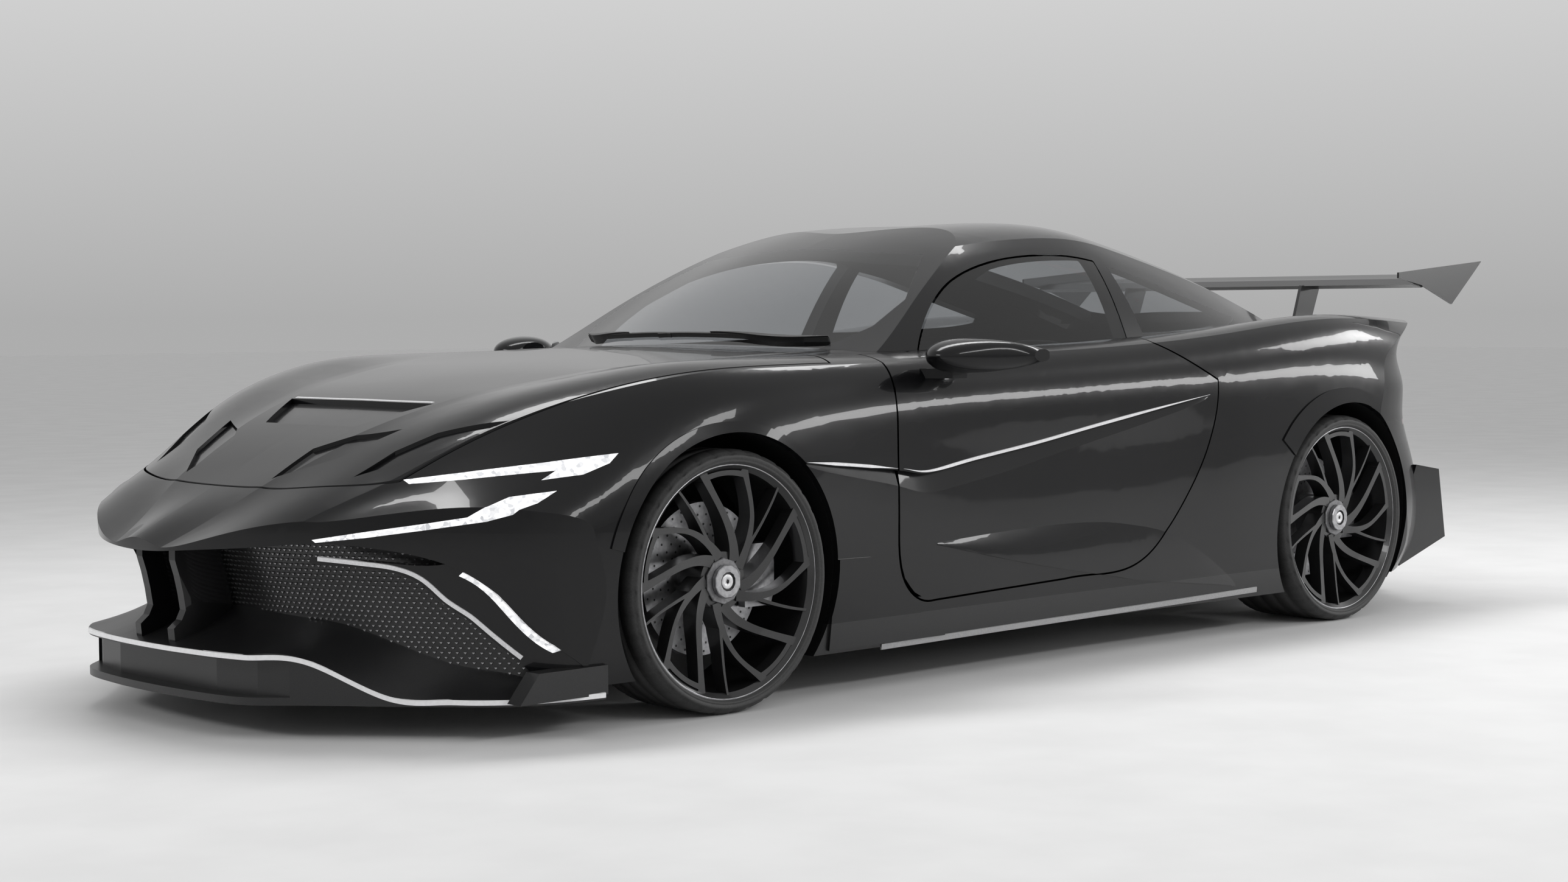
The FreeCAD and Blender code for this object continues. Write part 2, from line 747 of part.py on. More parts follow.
mouth = mouth_face(MOUTH_EDGE, at_x(MOUTH_BACK)).extrude(Vector(at_x(1400) - at_x(MOUTH_BACK), 0, 0))
mouth_rim = mouth_face(moved_out(MOUTH_EDGE, MOUTH_WALL), at_x(420))
mouth_rim = mouth_rim.extrude(Vector(at_x(1400) - at_x(420), 0, 0))
mouth_long = mouth_face(MOUTH_EDGE, at_x(400)).extrude(Vector(at_x(1400) - at_x(400), 0, 0))
tunnel = nose_layer(seat, MOUTH_DEPTH).common(mouth_rim).cut(mouth_long)
tunnel = tunnel.cut(arch_space(size("liner_thickness") + seat, 60)).common(
    block(at_x(440), at_x(1400), -1300, 1300, low_edge, 1200)
)

# A blade across each outer end of the mouth carries a lit strip in a groove
BLADE_LOW = [
    (500, 440), (597, 430), (666, 416), (706, 392), (744, 340), (783, 299), (812, 260), (862, 192),
    (893, 130),
]
BLADE_TOP = [(500, 454), (597, 448), (666, 441), (720, 436), (765, 440)]
BLADE_ROOT = [
    (765, 440), (810, 418), (845, 375), (872, 330), (900, 275), (925, 224), (948, 178), (962, 130),
]
BLADE_FRONT = 14
BLADE_BACK = 42
DAY_LAMP = [(790, 415), (814, 393), (853, 323), (885, 258), (914, 216)]
DAY_LAMP_WIDTH = 12
blade_prism = front_face(
    [BLADE_LOW[::-1], [BLADE_LOW[0], BLADE_TOP[0]], BLADE_TOP, BLADE_ROOT], at_x(440)
).extrude(Vector(at_x(1400) - at_x(440), 0, 0))
blade = nose_layer(BLADE_FRONT, BLADE_BACK).common(blade_prism)
day_prism = strip_face(DAY_LAMP, DAY_LAMP_WIDTH, at_x(440)).extrude(Vector(at_x(1400) - at_x(440), 0, 0))
day_room = strip_face(
    DAY_LAMP, DAY_LAMP_WIDTH + 2 * seat, at_x(440),
).extrude(Vector(at_x(1400) - at_x(440), 0, 0))
day_lamp = nose_layer(BLADE_FRONT - 5, BLADE_FRONT + 10).common(day_prism)
blade = blade.cut(day_room.common(nose_layer(0, BLADE_FRONT + 10 + seat)))
POST = [
    (1142, 500), (1142, 430), (1130, 390), (1120, 345), (1113, 300), (1125, 275), (1150, 254),
    (1160, 236), (1160, 206), (930, 206), (930, 500),
]
POST_Y = (68, 98)
post = side_prism(POST, at_y(POST_Y[0]), at_y(POST_Y[1])).common(
    nose_end(-MOUTH_DEPTH - 60).common(outer)
)
front_bumper = front_bumper.cut(mouth)

# Front wings, ending at the doors and the side skirts
SKIRT_TOP = 205
left_half = block(-3000, 3000, 0, 1300, -100, 2000)
left_shell = front_shell.common(left_half)
WING_END = -925
wing_side = side_prism([(1400, 1200), (1400, 0), (WING_END, 0), (WING_END, 1200)], 0, 1200)
skirt_band = side_prism([(-300, 0), (-2520, 0), (-2520, SKIRT_TOP), (-300, SKIRT_TOP)], 600, 1200)
waist_slot = plan_prism([(-925, 600), (-925, 800), (-1890, 800), (-1890, 600)], 800, 1200)
UPPER_LAMP = [
    (611, 643), (721, 661), (844, 683), (926, 703), (928, 679), (914, 653), (872, 642), (876, 664),
    (833, 658), (736, 644), (632, 633),
]
LOWER_LAMP = [
    (521, 500), (630, 521), (745, 542), (817, 557), (847, 583), (858, 604), (907, 616), (904, 588),
    (886, 562), (848, 546), (745, 526), (629, 506), (528, 493),
]
LAMP_BACK = (330, 500)
lamp_room = Part.makeCompound([
    front_prism(line, at_x(back), at_x(1300)) for line, back in zip((UPPER_LAMP, LOWER_LAMP), LAMP_BACK)
])
lamp_rooms = Part.makeCompound([lamp_room, mirrored(lamp_room)])
TAIL_LAMP = [(600, 690), (900, 670), (900, 652), (600, 668)]
tail_room = front_prism(TAIL_LAMP, at_x(-4000), at_x(-3200))
left_shell = left_shell.cut(roof_inner).cut(waist_slot)
headlamp = left_shell.common(lamp_room)
tail_lamp = left_shell.common(tail_room)
left_shell = left_shell.cut(lamp_room).cut(tail_room)
bumper_parts = [front_bumper, tunnel, blade, mirrored(blade), post, mirrored(post)]
front_bumper = joined(bumper_parts).cut(lamp_rooms)
front_bumper = front_bumper.cut(day_lamp).cut(mirrored(day_lamp))
front_fender = left_shell.cut(bumper_region).common(wing_side).cut(skirt_band)
cowl_split = plan_prism([(-470, 0), (-900, 0), (-900, 770), (-470, 770)], 0, 1500)
cowl_half = front_fender.common(cowl_split)
front_fender = front_fender.cut(cowl_split)
keep("front_fender_left", front_fender)
keep("front_fender_right", mirrored(front_fender))


def swan_neck(points, width, thickness):
    """A bent hinge arm: side view centre points, drawn with round ends, extruded across."""
    strips = []
    for first, last in zip(points, points[1:]):
        along = (last - first).normalize()
        off = Vector(-along.z, 0, along.x) * thickness / 2
        wire = Part.makePolygon([first + off, last + off, last - off, first - off, first + off])
        strips.append(Part.Face(wire).extrude(Vector(0, width, 0)))
        strips.append(rod(thickness / 2, last, last + Vector(0, width, 0)))
    return joined(strips)


def skin_height(x, y):
    """Height of the body's upper skin above a point."""
    line = Part.makeLine(Vector(x, y, at_z(700)), Vector(x, y, at_z(1300)))
    return outer.common(line).BoundBox.ZMax


SWEEP_MARGIN = 1.2


def edge_sweep(places, edge_places, skin_places, axis_skin):
    """Radius about a hinge line of a panel's outer edge, at places along the line."""
    radii = []
    for place, ahead, skin in zip(places, edge_places, skin_places):
        radii.append((place, math.hypot(ahead, max(skin - axis_skin, 0.0)) + SWEEP_MARGIN))
    return radii


def turned_tool(radii, origin, axis, radial, smooth=True):
    """The room swept about a hinge line inside a panel's outer edge."""
    points = [origin + axis * place + radial * radius for place, radius in radii]
    first = origin + axis * radii[0][0]
    last = origin + axis * radii[-1][0]
    if smooth:
        edges = [curve_through(points).toShape()]
    else:
        edges = [Part.makeLine(start, end) for start, end in zip(points, points[1:])]
    edges += [
        Part.makeLine(points[-1], last), Part.makeLine(last, first), Part.makeLine(first, points[0]),
    ]
    return Part.Face(Part.Wire(Part.__sortEdges__(edges))).revolve(origin, axis, 360)


HINGE_ARM = [(0, 0), (18, -48), (47, -64), (104, -50), (130, 36)]
ARM_WIDTH = 34
ARM_THICKNESS = 12
BARREL_RADIUS = 16
BRACKET_GAP = 3
BRACKET_WIDTH = 8
pin_radius = size("hinge_pin_radius")


def lid_hinge(edge_x, skin_z, inner_y, ahead):
    """Arm with its barrel, and bracket with its pin, of a lid that opens from this edge."""
    axis = Vector(edge_x - ahead * size("hinge_ahead"), inner_y, skin_z - size("hinge_depth"))
    points = [axis + Vector(ahead * x, 0, z) for x, z in HINGE_ARM]
    across = Vector(0, ARM_WIDTH, 0)
    arm = joined([swan_neck(points, ARM_WIDTH, ARM_THICKNESS), rod(BARREL_RADIUS, axis, axis + across)])
    arm = arm.cut(rod(pin_radius + size("bearing_clearance"), axis, axis + across))
    plates = []
    for start in (-BRACKET_GAP - BRACKET_WIDTH, ARM_WIDTH + BRACKET_GAP):
        x_low = axis.x - BARREL_RADIUS
        plates.append(
            Part.makeBox(
                2 * BARREL_RADIUS, BRACKET_WIDTH, size("hinge_depth"),
                Vector(x_low, axis.y + start, axis.z - 12),
            )
        )
    reach = Vector(0, BRACKET_GAP + BRACKET_WIDTH, 0)
    plates.append(rod(pin_radius, axis - reach, axis + across + reach))
    return axis, arm, joined(plates)


bonnet_edge_x = at_x(BONNET_BACK)
bonnet_skin = on_line(RIDGE_LINE, -600)[1]
bonnet_axis, bonnet_arm, bonnet_bracket = lid_hinge(bonnet_edge_x, bonnet_skin, 560, 1)
cowl_half = joined([cowl_half, bonnet_bracket.common(outer)])
keep("cowl_panel", joined([cowl_half, mirrored(cowl_half)]))
bonnet_arm = bonnet_arm.common(outer)
bonnet_places = [0, 200, 400, 550, 640, 690, 740, 790, 840, 885]
bonnet_edges = [size("hinge_ahead") + max(0, (place - 700) * 60 / 180) for place in bonnet_places]
bonnet_skins = [
    skin_height(bonnet_edge_x + ahead - size("hinge_ahead"), at_y(place))
    for place, ahead in zip(bonnet_places, bonnet_edges)
]
bonnet_sweep = edge_sweep(
    [at_y(place) for place in bonnet_places], bonnet_edges, bonnet_skins, bonnet_axis.z,
)
bonnet_tool = turned_tool(
    bonnet_sweep, Vector(bonnet_axis.x, 0, bonnet_axis.z), Vector(0, 1, 0), Vector(1, 0, 0),
)
bonnet = bonnet.cut(joined([bonnet_tool, mirrored(bonnet_tool)]))

# Rear quarters, tail, boot lid and rear bumper
BOOT_OUTLINE = [(-3300, 0), (-3300, 420), (-3360, 560), (-3950, 560), (-3950, 0)]
BUMPER_TOP = 590
BOOT_SPARE = 3
boot_runs = polygon_runs(BOOT_OUTLINE[1:-1])
boot_region = plan_region(boot_runs, 0).extrude(Vector(0, 0, 2000))
boot_room = plan_region(boot_runs, size("lid_gap")).extrude(Vector(0, 0, 2000))
rear_band = side_prism([(-3100, 0), (-4200, 0), (-4200, BUMPER_TOP), (-3100, BUMPER_TOP)], -1200, 1200)
boot_lid = shell.common(boot_region).cut(rear_band.makeOffsetShape(size("lid_gap"), 0.01))
boot_lid = max(boot_lid.Solids, key=lambda solid: solid.Volume)
rear_bumper = shell.common(rear_band)
REAR_POD = [(-3375, 505), (-3523, 483), (-3567, 236), (-3268, 150), (-3290, 330)]
rear_pod = side_prism(REAR_POD, at_y(838), at_y(902)).cut(inner).cut(arch_space(seat))
rear_pod = max(rear_pod.cut(rear_bumper).Solids, key=lambda solid: solid.Volume)
rear_bumper = joined([rear_bumper, rear_pod, mirrored(rear_pod)])
quarter_side = side_prism([(WING_END, 1200), (WING_END, 0), (-4200, 0), (-4200, 1200)], 0, 1200)
rear_quarter = left_shell.common(quarter_side).cut(rear_band).cut(skirt_band).cut(boot_room)
boot_edge_x = at_x(BOOT_OUTLINE[0][0])
boot_skin = on_line(RIDGE_LINE, BOOT_OUTLINE[0][0])[1]
boot_axis, boot_arm, boot_bracket = lid_hinge(boot_edge_x, boot_skin, 340, -1)
rear_quarter = joined([rear_quarter, boot_bracket.common(outer)])
boot_arm = boot_arm.common(outer)
boot_places = [0, 200, 400, 419, 440, 470, 500, 530, 560]
boot_edges = [size("hinge_ahead") + max(0, (place - 420) * 60 / 140) for place in boot_places]
boot_skins = [
    skin_height(boot_edge_x + size("hinge_ahead") - ahead, at_y(place))
    for place, ahead in zip(boot_places, boot_edges)
]
boot_sweep = edge_sweep([at_y(place) for place in boot_places], boot_edges, boot_skins, boot_axis.z)
boot_sweep = [(place, radius + BOOT_SPARE) for place, radius in boot_sweep]
boot_tool = turned_tool(
    boot_sweep, Vector(boot_axis.x, 0, boot_axis.z), Vector(0, 1, 0), Vector(-1, 0, 0),
)
boot_lid = boot_lid.cut(joined([boot_tool, mirrored(boot_tool)]))
boot_lid = joined([boot_lid, boot_arm, mirrored(boot_arm)])
keep("rear_bumper", rear_bumper)
keep("rear_quarter_left", rear_quarter)
keep("rear_quarter_right", mirrored(rear_quarter))
skirt = left_shell.common(skirt_band)
keep("side_skirts", Part.makeCompound([skirt, mirrored(skirt)]))

# Cabin frame and glass
glass = size("glass_thickness")
glass_inner = cabin(glass, glass, 60).cut(screen_end(-2 * glass))
glass_skin = roof_outer.cut(glass_inner)
SCREEN_OUTLINE = [
    (-540, 0), (-540, 300), (-640, 520), (-860, 640), (-1000, 640), (-1238, 492), (-1200, 300),
    (-1188, 0),
]
REAR_WINDOW_OUTLINE = [(-2420, 0), (-2440, 300), (-2470, 400), (-3080, 352), (-3170, 290), (-3190, 0)]
DOOR_GLASS = [
    [(-905, 900), (-950, 966), (-1030, 1045), (-1160, 1130), (-1290, 1178), (-1440, 1211), (-1600, 1229),
     (-1780, 1233), (-1935, 1217)],
    [(-1935, 1217), (-1900, 900)], [(-1900, 900), (-905, 900)],
]
QUARTER_GLASS = [
    [(-2000, 1203), (-2180, 1166), (-2400, 1108), (-2560, 1066), (-2690, 1032)],
    [(-2690, 1032), (-2600, 1010), (-2430, 996), (-2200, 988), (-2010, 985)],
    [(-2010, 985), (-2000, 1203)],
]
screen_prism = plan_region(polygon_runs(SCREEN_OUTLINE[1:-1]), 0).extrude(Vector(0, 0, 2000))
rear_prism = plan_region(polygon_runs(REAR_WINDOW_OUTLINE[1:-1]), 0).extrude(Vector(0, 0, 2000))
door_glass_prism = side_face(DOOR_GLASS, 300).extrude(Vector(0, 700, 0))
door_glass_room = grown(DOOR_GLASS, size("door_gap")).extrude(Vector(0, 1000, 0)).common(
    block(-3000, 3000, 300, 1000, 0, 2000)
)
quarter_prism = side_face(QUARTER_GLASS, 300).extrude(Vector(0, 700, 0))
raised = outer.copy()
raised.translate(Vector(0, 0, seat))
frame_skin = roof_outer.cut(roof_inner).cut(screen_prism).cut(rear_prism)
half_frame = frame_skin.common(left_half)
for room in (door_glass_room, quarter_prism, raised, door_opening):
    half_frame = half_frame.cut(room)
roof_frame = joined([half_frame, mirrored(half_frame)])
keep("roof_frame", roof_frame)
keep("windscreen", glass_skin.common(screen_prism).cut(raised))
keep("rear_window", glass_skin.common(rear_prism).cut(raised))
half_glass = glass_skin.common(left_half).cut(raised)
door_glass = half_glass.common(door_glass_prism)
quarter_glass = half_glass.common(quarter_prism)
keep("quarter_glass", Part.makeCompound([quarter_glass, mirrored(quarter_glass)]))
keep("door_glass_left", door_glass)
keep("door_glass_right", mirrored(door_glass))
keep("boot_lid", boot_lid)
keep("bonnet", joined([bonnet, bonnet_arm, mirrored(bonnet_arm)]))

# Door hinges: a pillar and pins on the body, swan neck arms on the door
hinge_x = at_x(DOOR_FRONT[0][0]) + size("hinge_ahead")
hinge_y = on_line(WAIST_LINE, DOOR_FRONT[0][0])[0] - size("hinge_depth")
HINGE_HEIGHTS = [380, 640]
hinge_arms = []
hinge_brackets = []
for height in HINGE_HEIGHTS:
    axis = Vector(hinge_x, hinge_y, height)
    across = Vector(0, 0, ARM_WIDTH)
    strips = [rod(BARREL_RADIUS, axis, axis + across)]
    points = [axis + Vector(-x, z, 0) for x, z in HINGE_ARM[:3]]
    points.append(axis + Vector(-size("hinge_ahead") - 10, HINGE_ARM[2][1], 0))
    for first, last in zip(points, points[1:]):
        along = (last - first).normalize()
        off = Vector(-along.y, along.x, 0) * ARM_THICKNESS / 2
        wire = Part.makePolygon([first + off, last + off, last - off, first - off, first + off])
        strips.append(Part.Face(wire).extrude(across))
        strips.append(rod(ARM_THICKNESS / 2, last, last + across))
    bore = rod(pin_radius + size("bearing_clearance"), axis, axis + across)
    hinge_arms.append(joined(strips).cut(bore))
    for start in (-BRACKET_GAP - BRACKET_WIDTH, ARM_WIDTH + BRACKET_GAP):
        hinge_brackets.append(
            block(
                hinge_x - 12, hinge_x + 60, hinge_y - 60, hinge_y + 12, height + start,
                height + start + BRACKET_WIDTH,
            )
        )
    reach = Vector(0, 0, BRACKET_GAP + BRACKET_WIDTH)
    hinge_brackets.append(rod(pin_radius, axis - reach, axis + across + reach))
door_places = [250, 264, 284, 308, 340, 374, 412, 520, 650, 760, 840, 880, 905, 940]
door_heels = [-742, -712, -690, -671, -658, -650.5, -647, -646]
door_edge_run = [size("hinge_ahead") + at_x(-646) - at_x(x) for x in door_heels]
door_skins = [skin_width(outer, at_x(DOOR_FRONT[0][0]), at_z(min(place, 905))) for place in door_places]
door_sweep = edge_sweep(
    [at_z(place) for place in door_places], door_edge_run + [size("hinge_ahead")] * 6, door_skins, hinge_y
)
door_tool = turned_tool(
    door_sweep, Vector(hinge_x, hinge_y, 0), Vector(0, 0, 1), Vector(-1, 0, 0), smooth=False,
)
door = joined([door.cut(door_tool)] + hinge_arms)
keep("door_left", door)
keep("door_right", mirrored(door))

# Floor, sills, bulkheads and hinge pillars in one tub
low = size("ground_clearance")
floor_top = low + size("floor_thickness")
FLOOR_OUTLINE = [(1010, 420), (700, 800), (420, 900), (-3180, 900), (-3299, 800)]
liner_room = size("liner_thickness") + seat
floor_plate = plan_prism(both_sides(FLOOR_OUTLINE), low, floor_top)
floor_plate = floor_plate.common(seated).cut(arch_space(liner_room, liner_room))
sill_top = at_z(236) - 14
tub_parts = [floor_plate]
for side in (1, -1):
    ys = sorted((side * 740, side * 764))
    tub_parts.append(block(at_x(-2080), at_x(-664), ys[0], ys[1], floor_top, 330))
    ys = sorted((side * 784, side * 900))
    tub_parts.append(block(at_x(-2080), at_x(-500), ys[0], ys[1], floor_top, sill_top))
    ys = sorted((side * 800, side * (hinge_y - 24)))
    tub_parts.append(block(hinge_x + 24, hinge_x + 60, ys[0], ys[1], floor_top, 800))
for bracket in hinge_brackets:
    tub_parts.append(bracket)
    tub_parts.append(mirrored(bracket))
tub_parts.append(block(at_x(-664), at_x(-644), -764, 764, floor_top, at_z(880)))
for pad_x in (size("jack_front"), size("jack_rear")):
    for side in (1, -1):
        pad = Vector(pad_x, side * size("jack_side"), low)
        tub_parts.append(
            rod(size("jack_radius"), pad - Vector(0, 0, size("jack_depth")), pad + Vector(0, 0, 5))
        )
tub_parts.append(block(at_x(-2660), at_x(-2640), -560, 560, floor_top, at_z(880)))
tub_parts.append(block(at_x(-2640), at_x(-664), -120, 120, floor_top, 300))
tub_parts.append(block(at_x(-3500), at_x(-2660), -540, 540, 420, 440))
tub_parts.append(block(at_x(-3500), at_x(-3480), -540, 540, 260, 420))
tub = joined(tub_parts)

# Wheel house liners
liner_parts = []
for place, _, _, depth in AXLES.values():
    inner_wall = half_width - depth
    start = Vector(place, inner_wall - size("liner_thickness"), axle_height)
    drum = rod(arch_radius + size("liner_thickness"), start, Vector(place, half_width, axle_height))
    drum = drum.cut(
        rod(arch_radius, Vector(place, inner_wall, axle_height), Vector(place, half_width, axle_height))
    )
    keep_box = block(place - 600, place + 600, 0, half_width, low, 1200)
    liner_parts.append(drum.common(keep_box).common(seated))
liners = Part.makeCompound(liner_parts + [mirrored(piece) for piece in liner_parts])
keep("wheel_liners", liners)


# Wheels and tyres: built about their own centre with the outer face towards +Y, then placed
def revolved(points):
    """A ring or disc about the wheel's axle from a half section of radius and width."""
    wire = Part.makePolygon([Vector(0, y, r) for r, y in points + points[:1]])
    return Part.Face(wire).revolve(Vector(0, 0, 0), Vector(0, 1, 0), 360)


def polar(radius, degrees, y=0.0):
    angle = math.radians(degrees)
    return Vector(radius * math.cos(angle), y, radius * math.sin(angle))


def band(points, depth):
    """A spoke arm: centre points as radius, angle and width, with smooth edges."""
    centres = [polar(r, a) for r, a, _ in points]
    left = []
    right = []
    for index, (centre, (_, _, width)) in enumerate(zip(centres, points)):
        before = centres[max(index - 1, 0)]
        after = centres[min(index + 1, len(centres) - 1)]
        along = (after - before).normalize()
        off = Vector(-along.z, 0, along.x) * width / 2
        left.append(centre + off)
        right.append(centre - off)
    edges = [curve_through(left).toShape(), curve_through(right).toShape()]
    edges.append(Part.makeLine(left[0], right[0]))
    edges.append(Part.makeLine(left[-1], right[-1]))
    wire = Part.Wire(Part.__sortEdges__(edges))
    face = Part.Face(wire)
    face.translate(Vector(0, -depth, 0))
    return face.extrude(Vector(0, 2 * depth, 0))


LEADING_ARM = [(302, 73, 26), (250, 77, 20), (190, 85, 20), (130, 99, 24), (62, 128, 34)]
TRAILING_ARM = [(302, 101, 24), (250, 108, 15), (190, 119, 15), (130, 130, 20), (62, 150, 30)]
OUTER_BAR = [(286, 72, 16), (287, 80, 14), (287, 94, 14), (286, 102, 16)]
FIN = [(302, 127, 7), (220, 130, 8), (140, 133, 10), (62, 140, 14)]
rim_wall = size("rim_wall")
rim_seat = size("rim_radius") - rim_wall


def make_rim(width):
    outer_lip = width / 2 - size("lip_inset")
    inner_lip = -outer_lip
    barrel = revolved([
        (rim_seat - rim_wall, inner_lip), (size("rim_radius"), inner_lip),
        (size("rim_radius"), inner_lip + 7),
        (rim_seat, inner_lip + 12), (rim_seat, outer_lip - 12), (size("rim_radius"), outer_lip - 7),
        (size("rim_radius"), outer_lip), (size("rim_radius") - 5, outer_lip),
        (rim_seat - rim_wall, outer_lip - 14),
    ])
    face_edge = outer_lip - 8
    face_hub = outer_lip - 30
    dish = revolved([
        (0, face_hub), (60, face_hub), (190, face_edge - 8), (300, face_edge), (300, face_edge - 40),
        (190, face_edge - 52), (90, face_edge - 78), (0, face_edge - 78),
    ])
    arms = []
    for turn in range(5):
        for points in (LEADING_ARM, TRAILING_ARM, OUTER_BAR, FIN):
            arms.append(band([(r, a + 72 * turn, w) for r, a, w in points], width))
    spokes = [dish.common(arm) for arm in arms]
    hub_back = disc_place - size("disc_thickness") / 2
    hub = rod(size("hub_radius"), Vector(0, hub_back, 0), Vector(0, face_hub - 4, 0))
    nut = rod(34, Vector(0, face_hub - 4, 0), Vector(0, face_hub + 14, 0))
    disc = rod(
        size("disc_radius"), Vector(0, hub_back, 0), Vector(0, hub_back + size("disc_thickness"), 0),
    )
    rim = joined([barrel, hub, nut, disc] + spokes)
    bore_end = Vector(0, disc_place + 72, 0)
    bore = rod(size("spindle_radius") + size("bearing_clearance"), Vector(0, hub_back - 1, 0), bore_end)
    return rim.cut(bore)


def make_tyre(width):
    outer_lip = width / 2 - size("lip_inset")
    rim_top = size("rim_radius")
    half = width / 2
    tyre_top = size("tyre_radius")
    section = [
        (rim_seat, outer_lip - 12), (rim_top, outer_lip - 7), (rim_top + 6, half - 4),
        (rim_top + 16, half),
        (tyre_top - 16, half - 3), (tyre_top - 5, half - 12), (tyre_top, half - 26),
    ]
    return revolved(section + [(r, -y) for r, y in reversed(section)])


disc_place = -12
upright_inner = -80
upright_outer = -40


def make_upright(width):
    """Upright with its spindle and brake caliper."""
    upright = block(-42, 42, upright_inner, upright_outer, -95, 95)
    spindle = rod(size("spindle_radius"), Vector(0, upright_outer, 0), Vector(0, disc_place + 60, 0))
    reach = size("disc_thickness") / 2 + 5
    caliper = block(-236, -128, disc_place - reach - 26, disc_place + reach + 26, -85, 85)
    caliper = caliper.cut(
        rod(size("disc_radius") + 6, Vector(0, disc_place - reach, 0), Vector(0, disc_place + reach, 0))
    )
    caliper = caliper.common(rod(238, Vector(0, -200, 0), Vector(0, 200, 0)))
    bridge = block(-150, 0, disc_place - reach - 26, upright_outer, -30, 30)
    return joined([upright, spindle, caliper, bridge])


def place_left(shape, axle, wheel_y):
    moved = shape.copy()
    moved.translate(Vector(axle, wheel_y, axle_height))
    return moved


for end, (axle, wheel_y, width, depth) in AXLES.items():
    rim = place_left(make_rim(width), axle, wheel_y)
    tyre = place_left(make_tyre(width), axle, wheel_y)
    keep(f"wheel_{end}_left", rim)
    keep(f"wheel_{end}_right", mirrored(rim))
    keep(f"tyre_{end}_left", tyre)
    keep(f"tyre_{end}_right", mirrored(tyre))
    upright = place_left(make_upright(width), axle, wheel_y)
    wall_y = half_width - depth
    pivot_y = wheel_y - size("kingpin_inset")
    half_spread = size("ball_joint_spread") / 2
    arms = []
    for height in (-half_spread, half_spread):
        level = axle_height + height
        eye = rod(20, Vector(axle, pivot_y, level - 12), Vector(axle, pivot_y, level + 12))
        legs = []
        for way in (1, -1):
            foot = Vector(axle + way * 150, wall_y, level)
            head = Vector(axle + way * 10, pivot_y - 6, level)
            legs.append(rod(10, foot, head))
        clear = block(axle - 400, axle + 400, 0, wall_y + seat, 0, 1200)
        arm = joined([eye] + legs).cut(clear)
        arms.append(arm)
    kingpin = rod(
        size("kingpin_radius"), Vector(axle, pivot_y, axle_height - half_spread - 12),
        Vector(axle, pivot_y, axle_height + half_spread + 12)
    )
    post = block(
        axle - 24, axle + 24, pivot_y - 18, pivot_y + 18, axle_height - half_spread + 18,
        axle_height + half_spread - 18,
    )
    if end == "front":
        knuckle = joined([upright, kingpin, post])
        keep("knuckle_left", knuckle)
        keep("knuckle_right", mirrored(knuckle))
        bore_radius = size("kingpin_radius") + size("bearing_clearance")
        bore = rod(bore_radius, Vector(axle, pivot_y, 0), Vector(axle, pivot_y, 1000))
        arms = [arm.cut(bore) for arm in arms]
        keep("front_suspension", Part.makeCompound(arms + [mirrored(arm) for arm in arms]))
    else:
        shaft = rod(
            22, Vector(axle, wall_y + seat, axle_height),
            Vector(axle, wheel_y + upright_inner + 5, axle_height),
        )
        axle_half = joined([upright, kingpin, post, shaft] + arms)
        keep("rear_axle", Part.makeCompound([axle_half, mirrored(axle_half)]))

# Engine, cabin fittings
ENGINE_FRONT = 60
engine = doc.addObject("Part::Box", "engine_block")
engine.Label = "engine_block"
engine.setExpression("Length", "Sizes.engine_length * 1 mm")
engine.setExpression("Width", "Sizes.engine_width * 1 mm")
engine.setExpression("Height", "Sizes.engine_height * 1 mm")
engine.setExpression("Placement.Base.y", "-Sizes.engine_width * 0.5 mm")
engine.setExpression("Placement.Base.z", "(Sizes.ground_clearance + Sizes.floor_thickness) * 1 mm")
engine.setExpression("Placement.Base.x", f"({at_x(ENGINE_FRONT)} - Sizes.engine_length) * 1 mm")
doc.recompute()
nodes.append(engine)

# Dashboard, steering wheel and seats
DASH_PROFILE = [
    (-664, 600), (-664, 900), (-760, 928), (-900, 925), (-985, 880), (-1000, 800), (-960, 700),
    (-800, 600),
]
dash = side_prism(DASH_PROFILE, -738, 738)
dash = dash.common(seated).cut(roof_frame)
wheel_centre = Vector(at_x(-1180), size("seat_spacing") / 2, at_z(770))
column_axis = Vector(-math.cos(math.radians(24)), 0, math.sin(math.radians(24)))
grip = Part.makeTorus(
    size("steering_wheel_radius"), size("steering_rim_radius"), wheel_centre, column_axis,
)
boss_start = wheel_centre - column_axis * 30
boss = rod(46, boss_start, wheel_centre)
spoke_parts = [grip, boss]
side_way = Vector(0, 1, 0)
down_way = column_axis.cross(side_way)
for way in (side_way, side_way * -1, down_way * (1 if down_way.z < 0 else -1)):
    spoke_parts.append(
        rod(
            11, wheel_centre - column_axis * 12,
            wheel_centre - column_axis * 2 + way * size("steering_wheel_radius"),
        )
    )
keep("steering_wheel", joined(spoke_parts))
column_top = boss_start - column_axis * seat
column = rod(28, column_top - column_axis * 260, column_top)
keep("dashboard", joined([dash, column]))


def front_seat(middle):
    width = size("seat_width") / 2
    cushion = [(-1300, 0), (-1290, 150), (-1350, 190), (-1790, 130), (-1850, 0)]
    lift = floor_top
    base = Part.makePolygon([Vector(at_x(x), middle - width, lift + z) for x, z in cushion + cushion[:1]])
    back = [
        (-1740, 130), (-1800, 130), (-1960, 620), (-1975, 800), (-1930, 830), (-1880, 790),
        (-1850, 600), (-1690, 180),
    ]
    rest = Part.makePolygon([Vector(at_x(x), middle - width, lift + z) for x, z in back + back[:1]])
    solids = [Part.Face(wire).extrude(Vector(0, 2 * width, 0)) for wire in (base, rest)]
    return joined(solids)


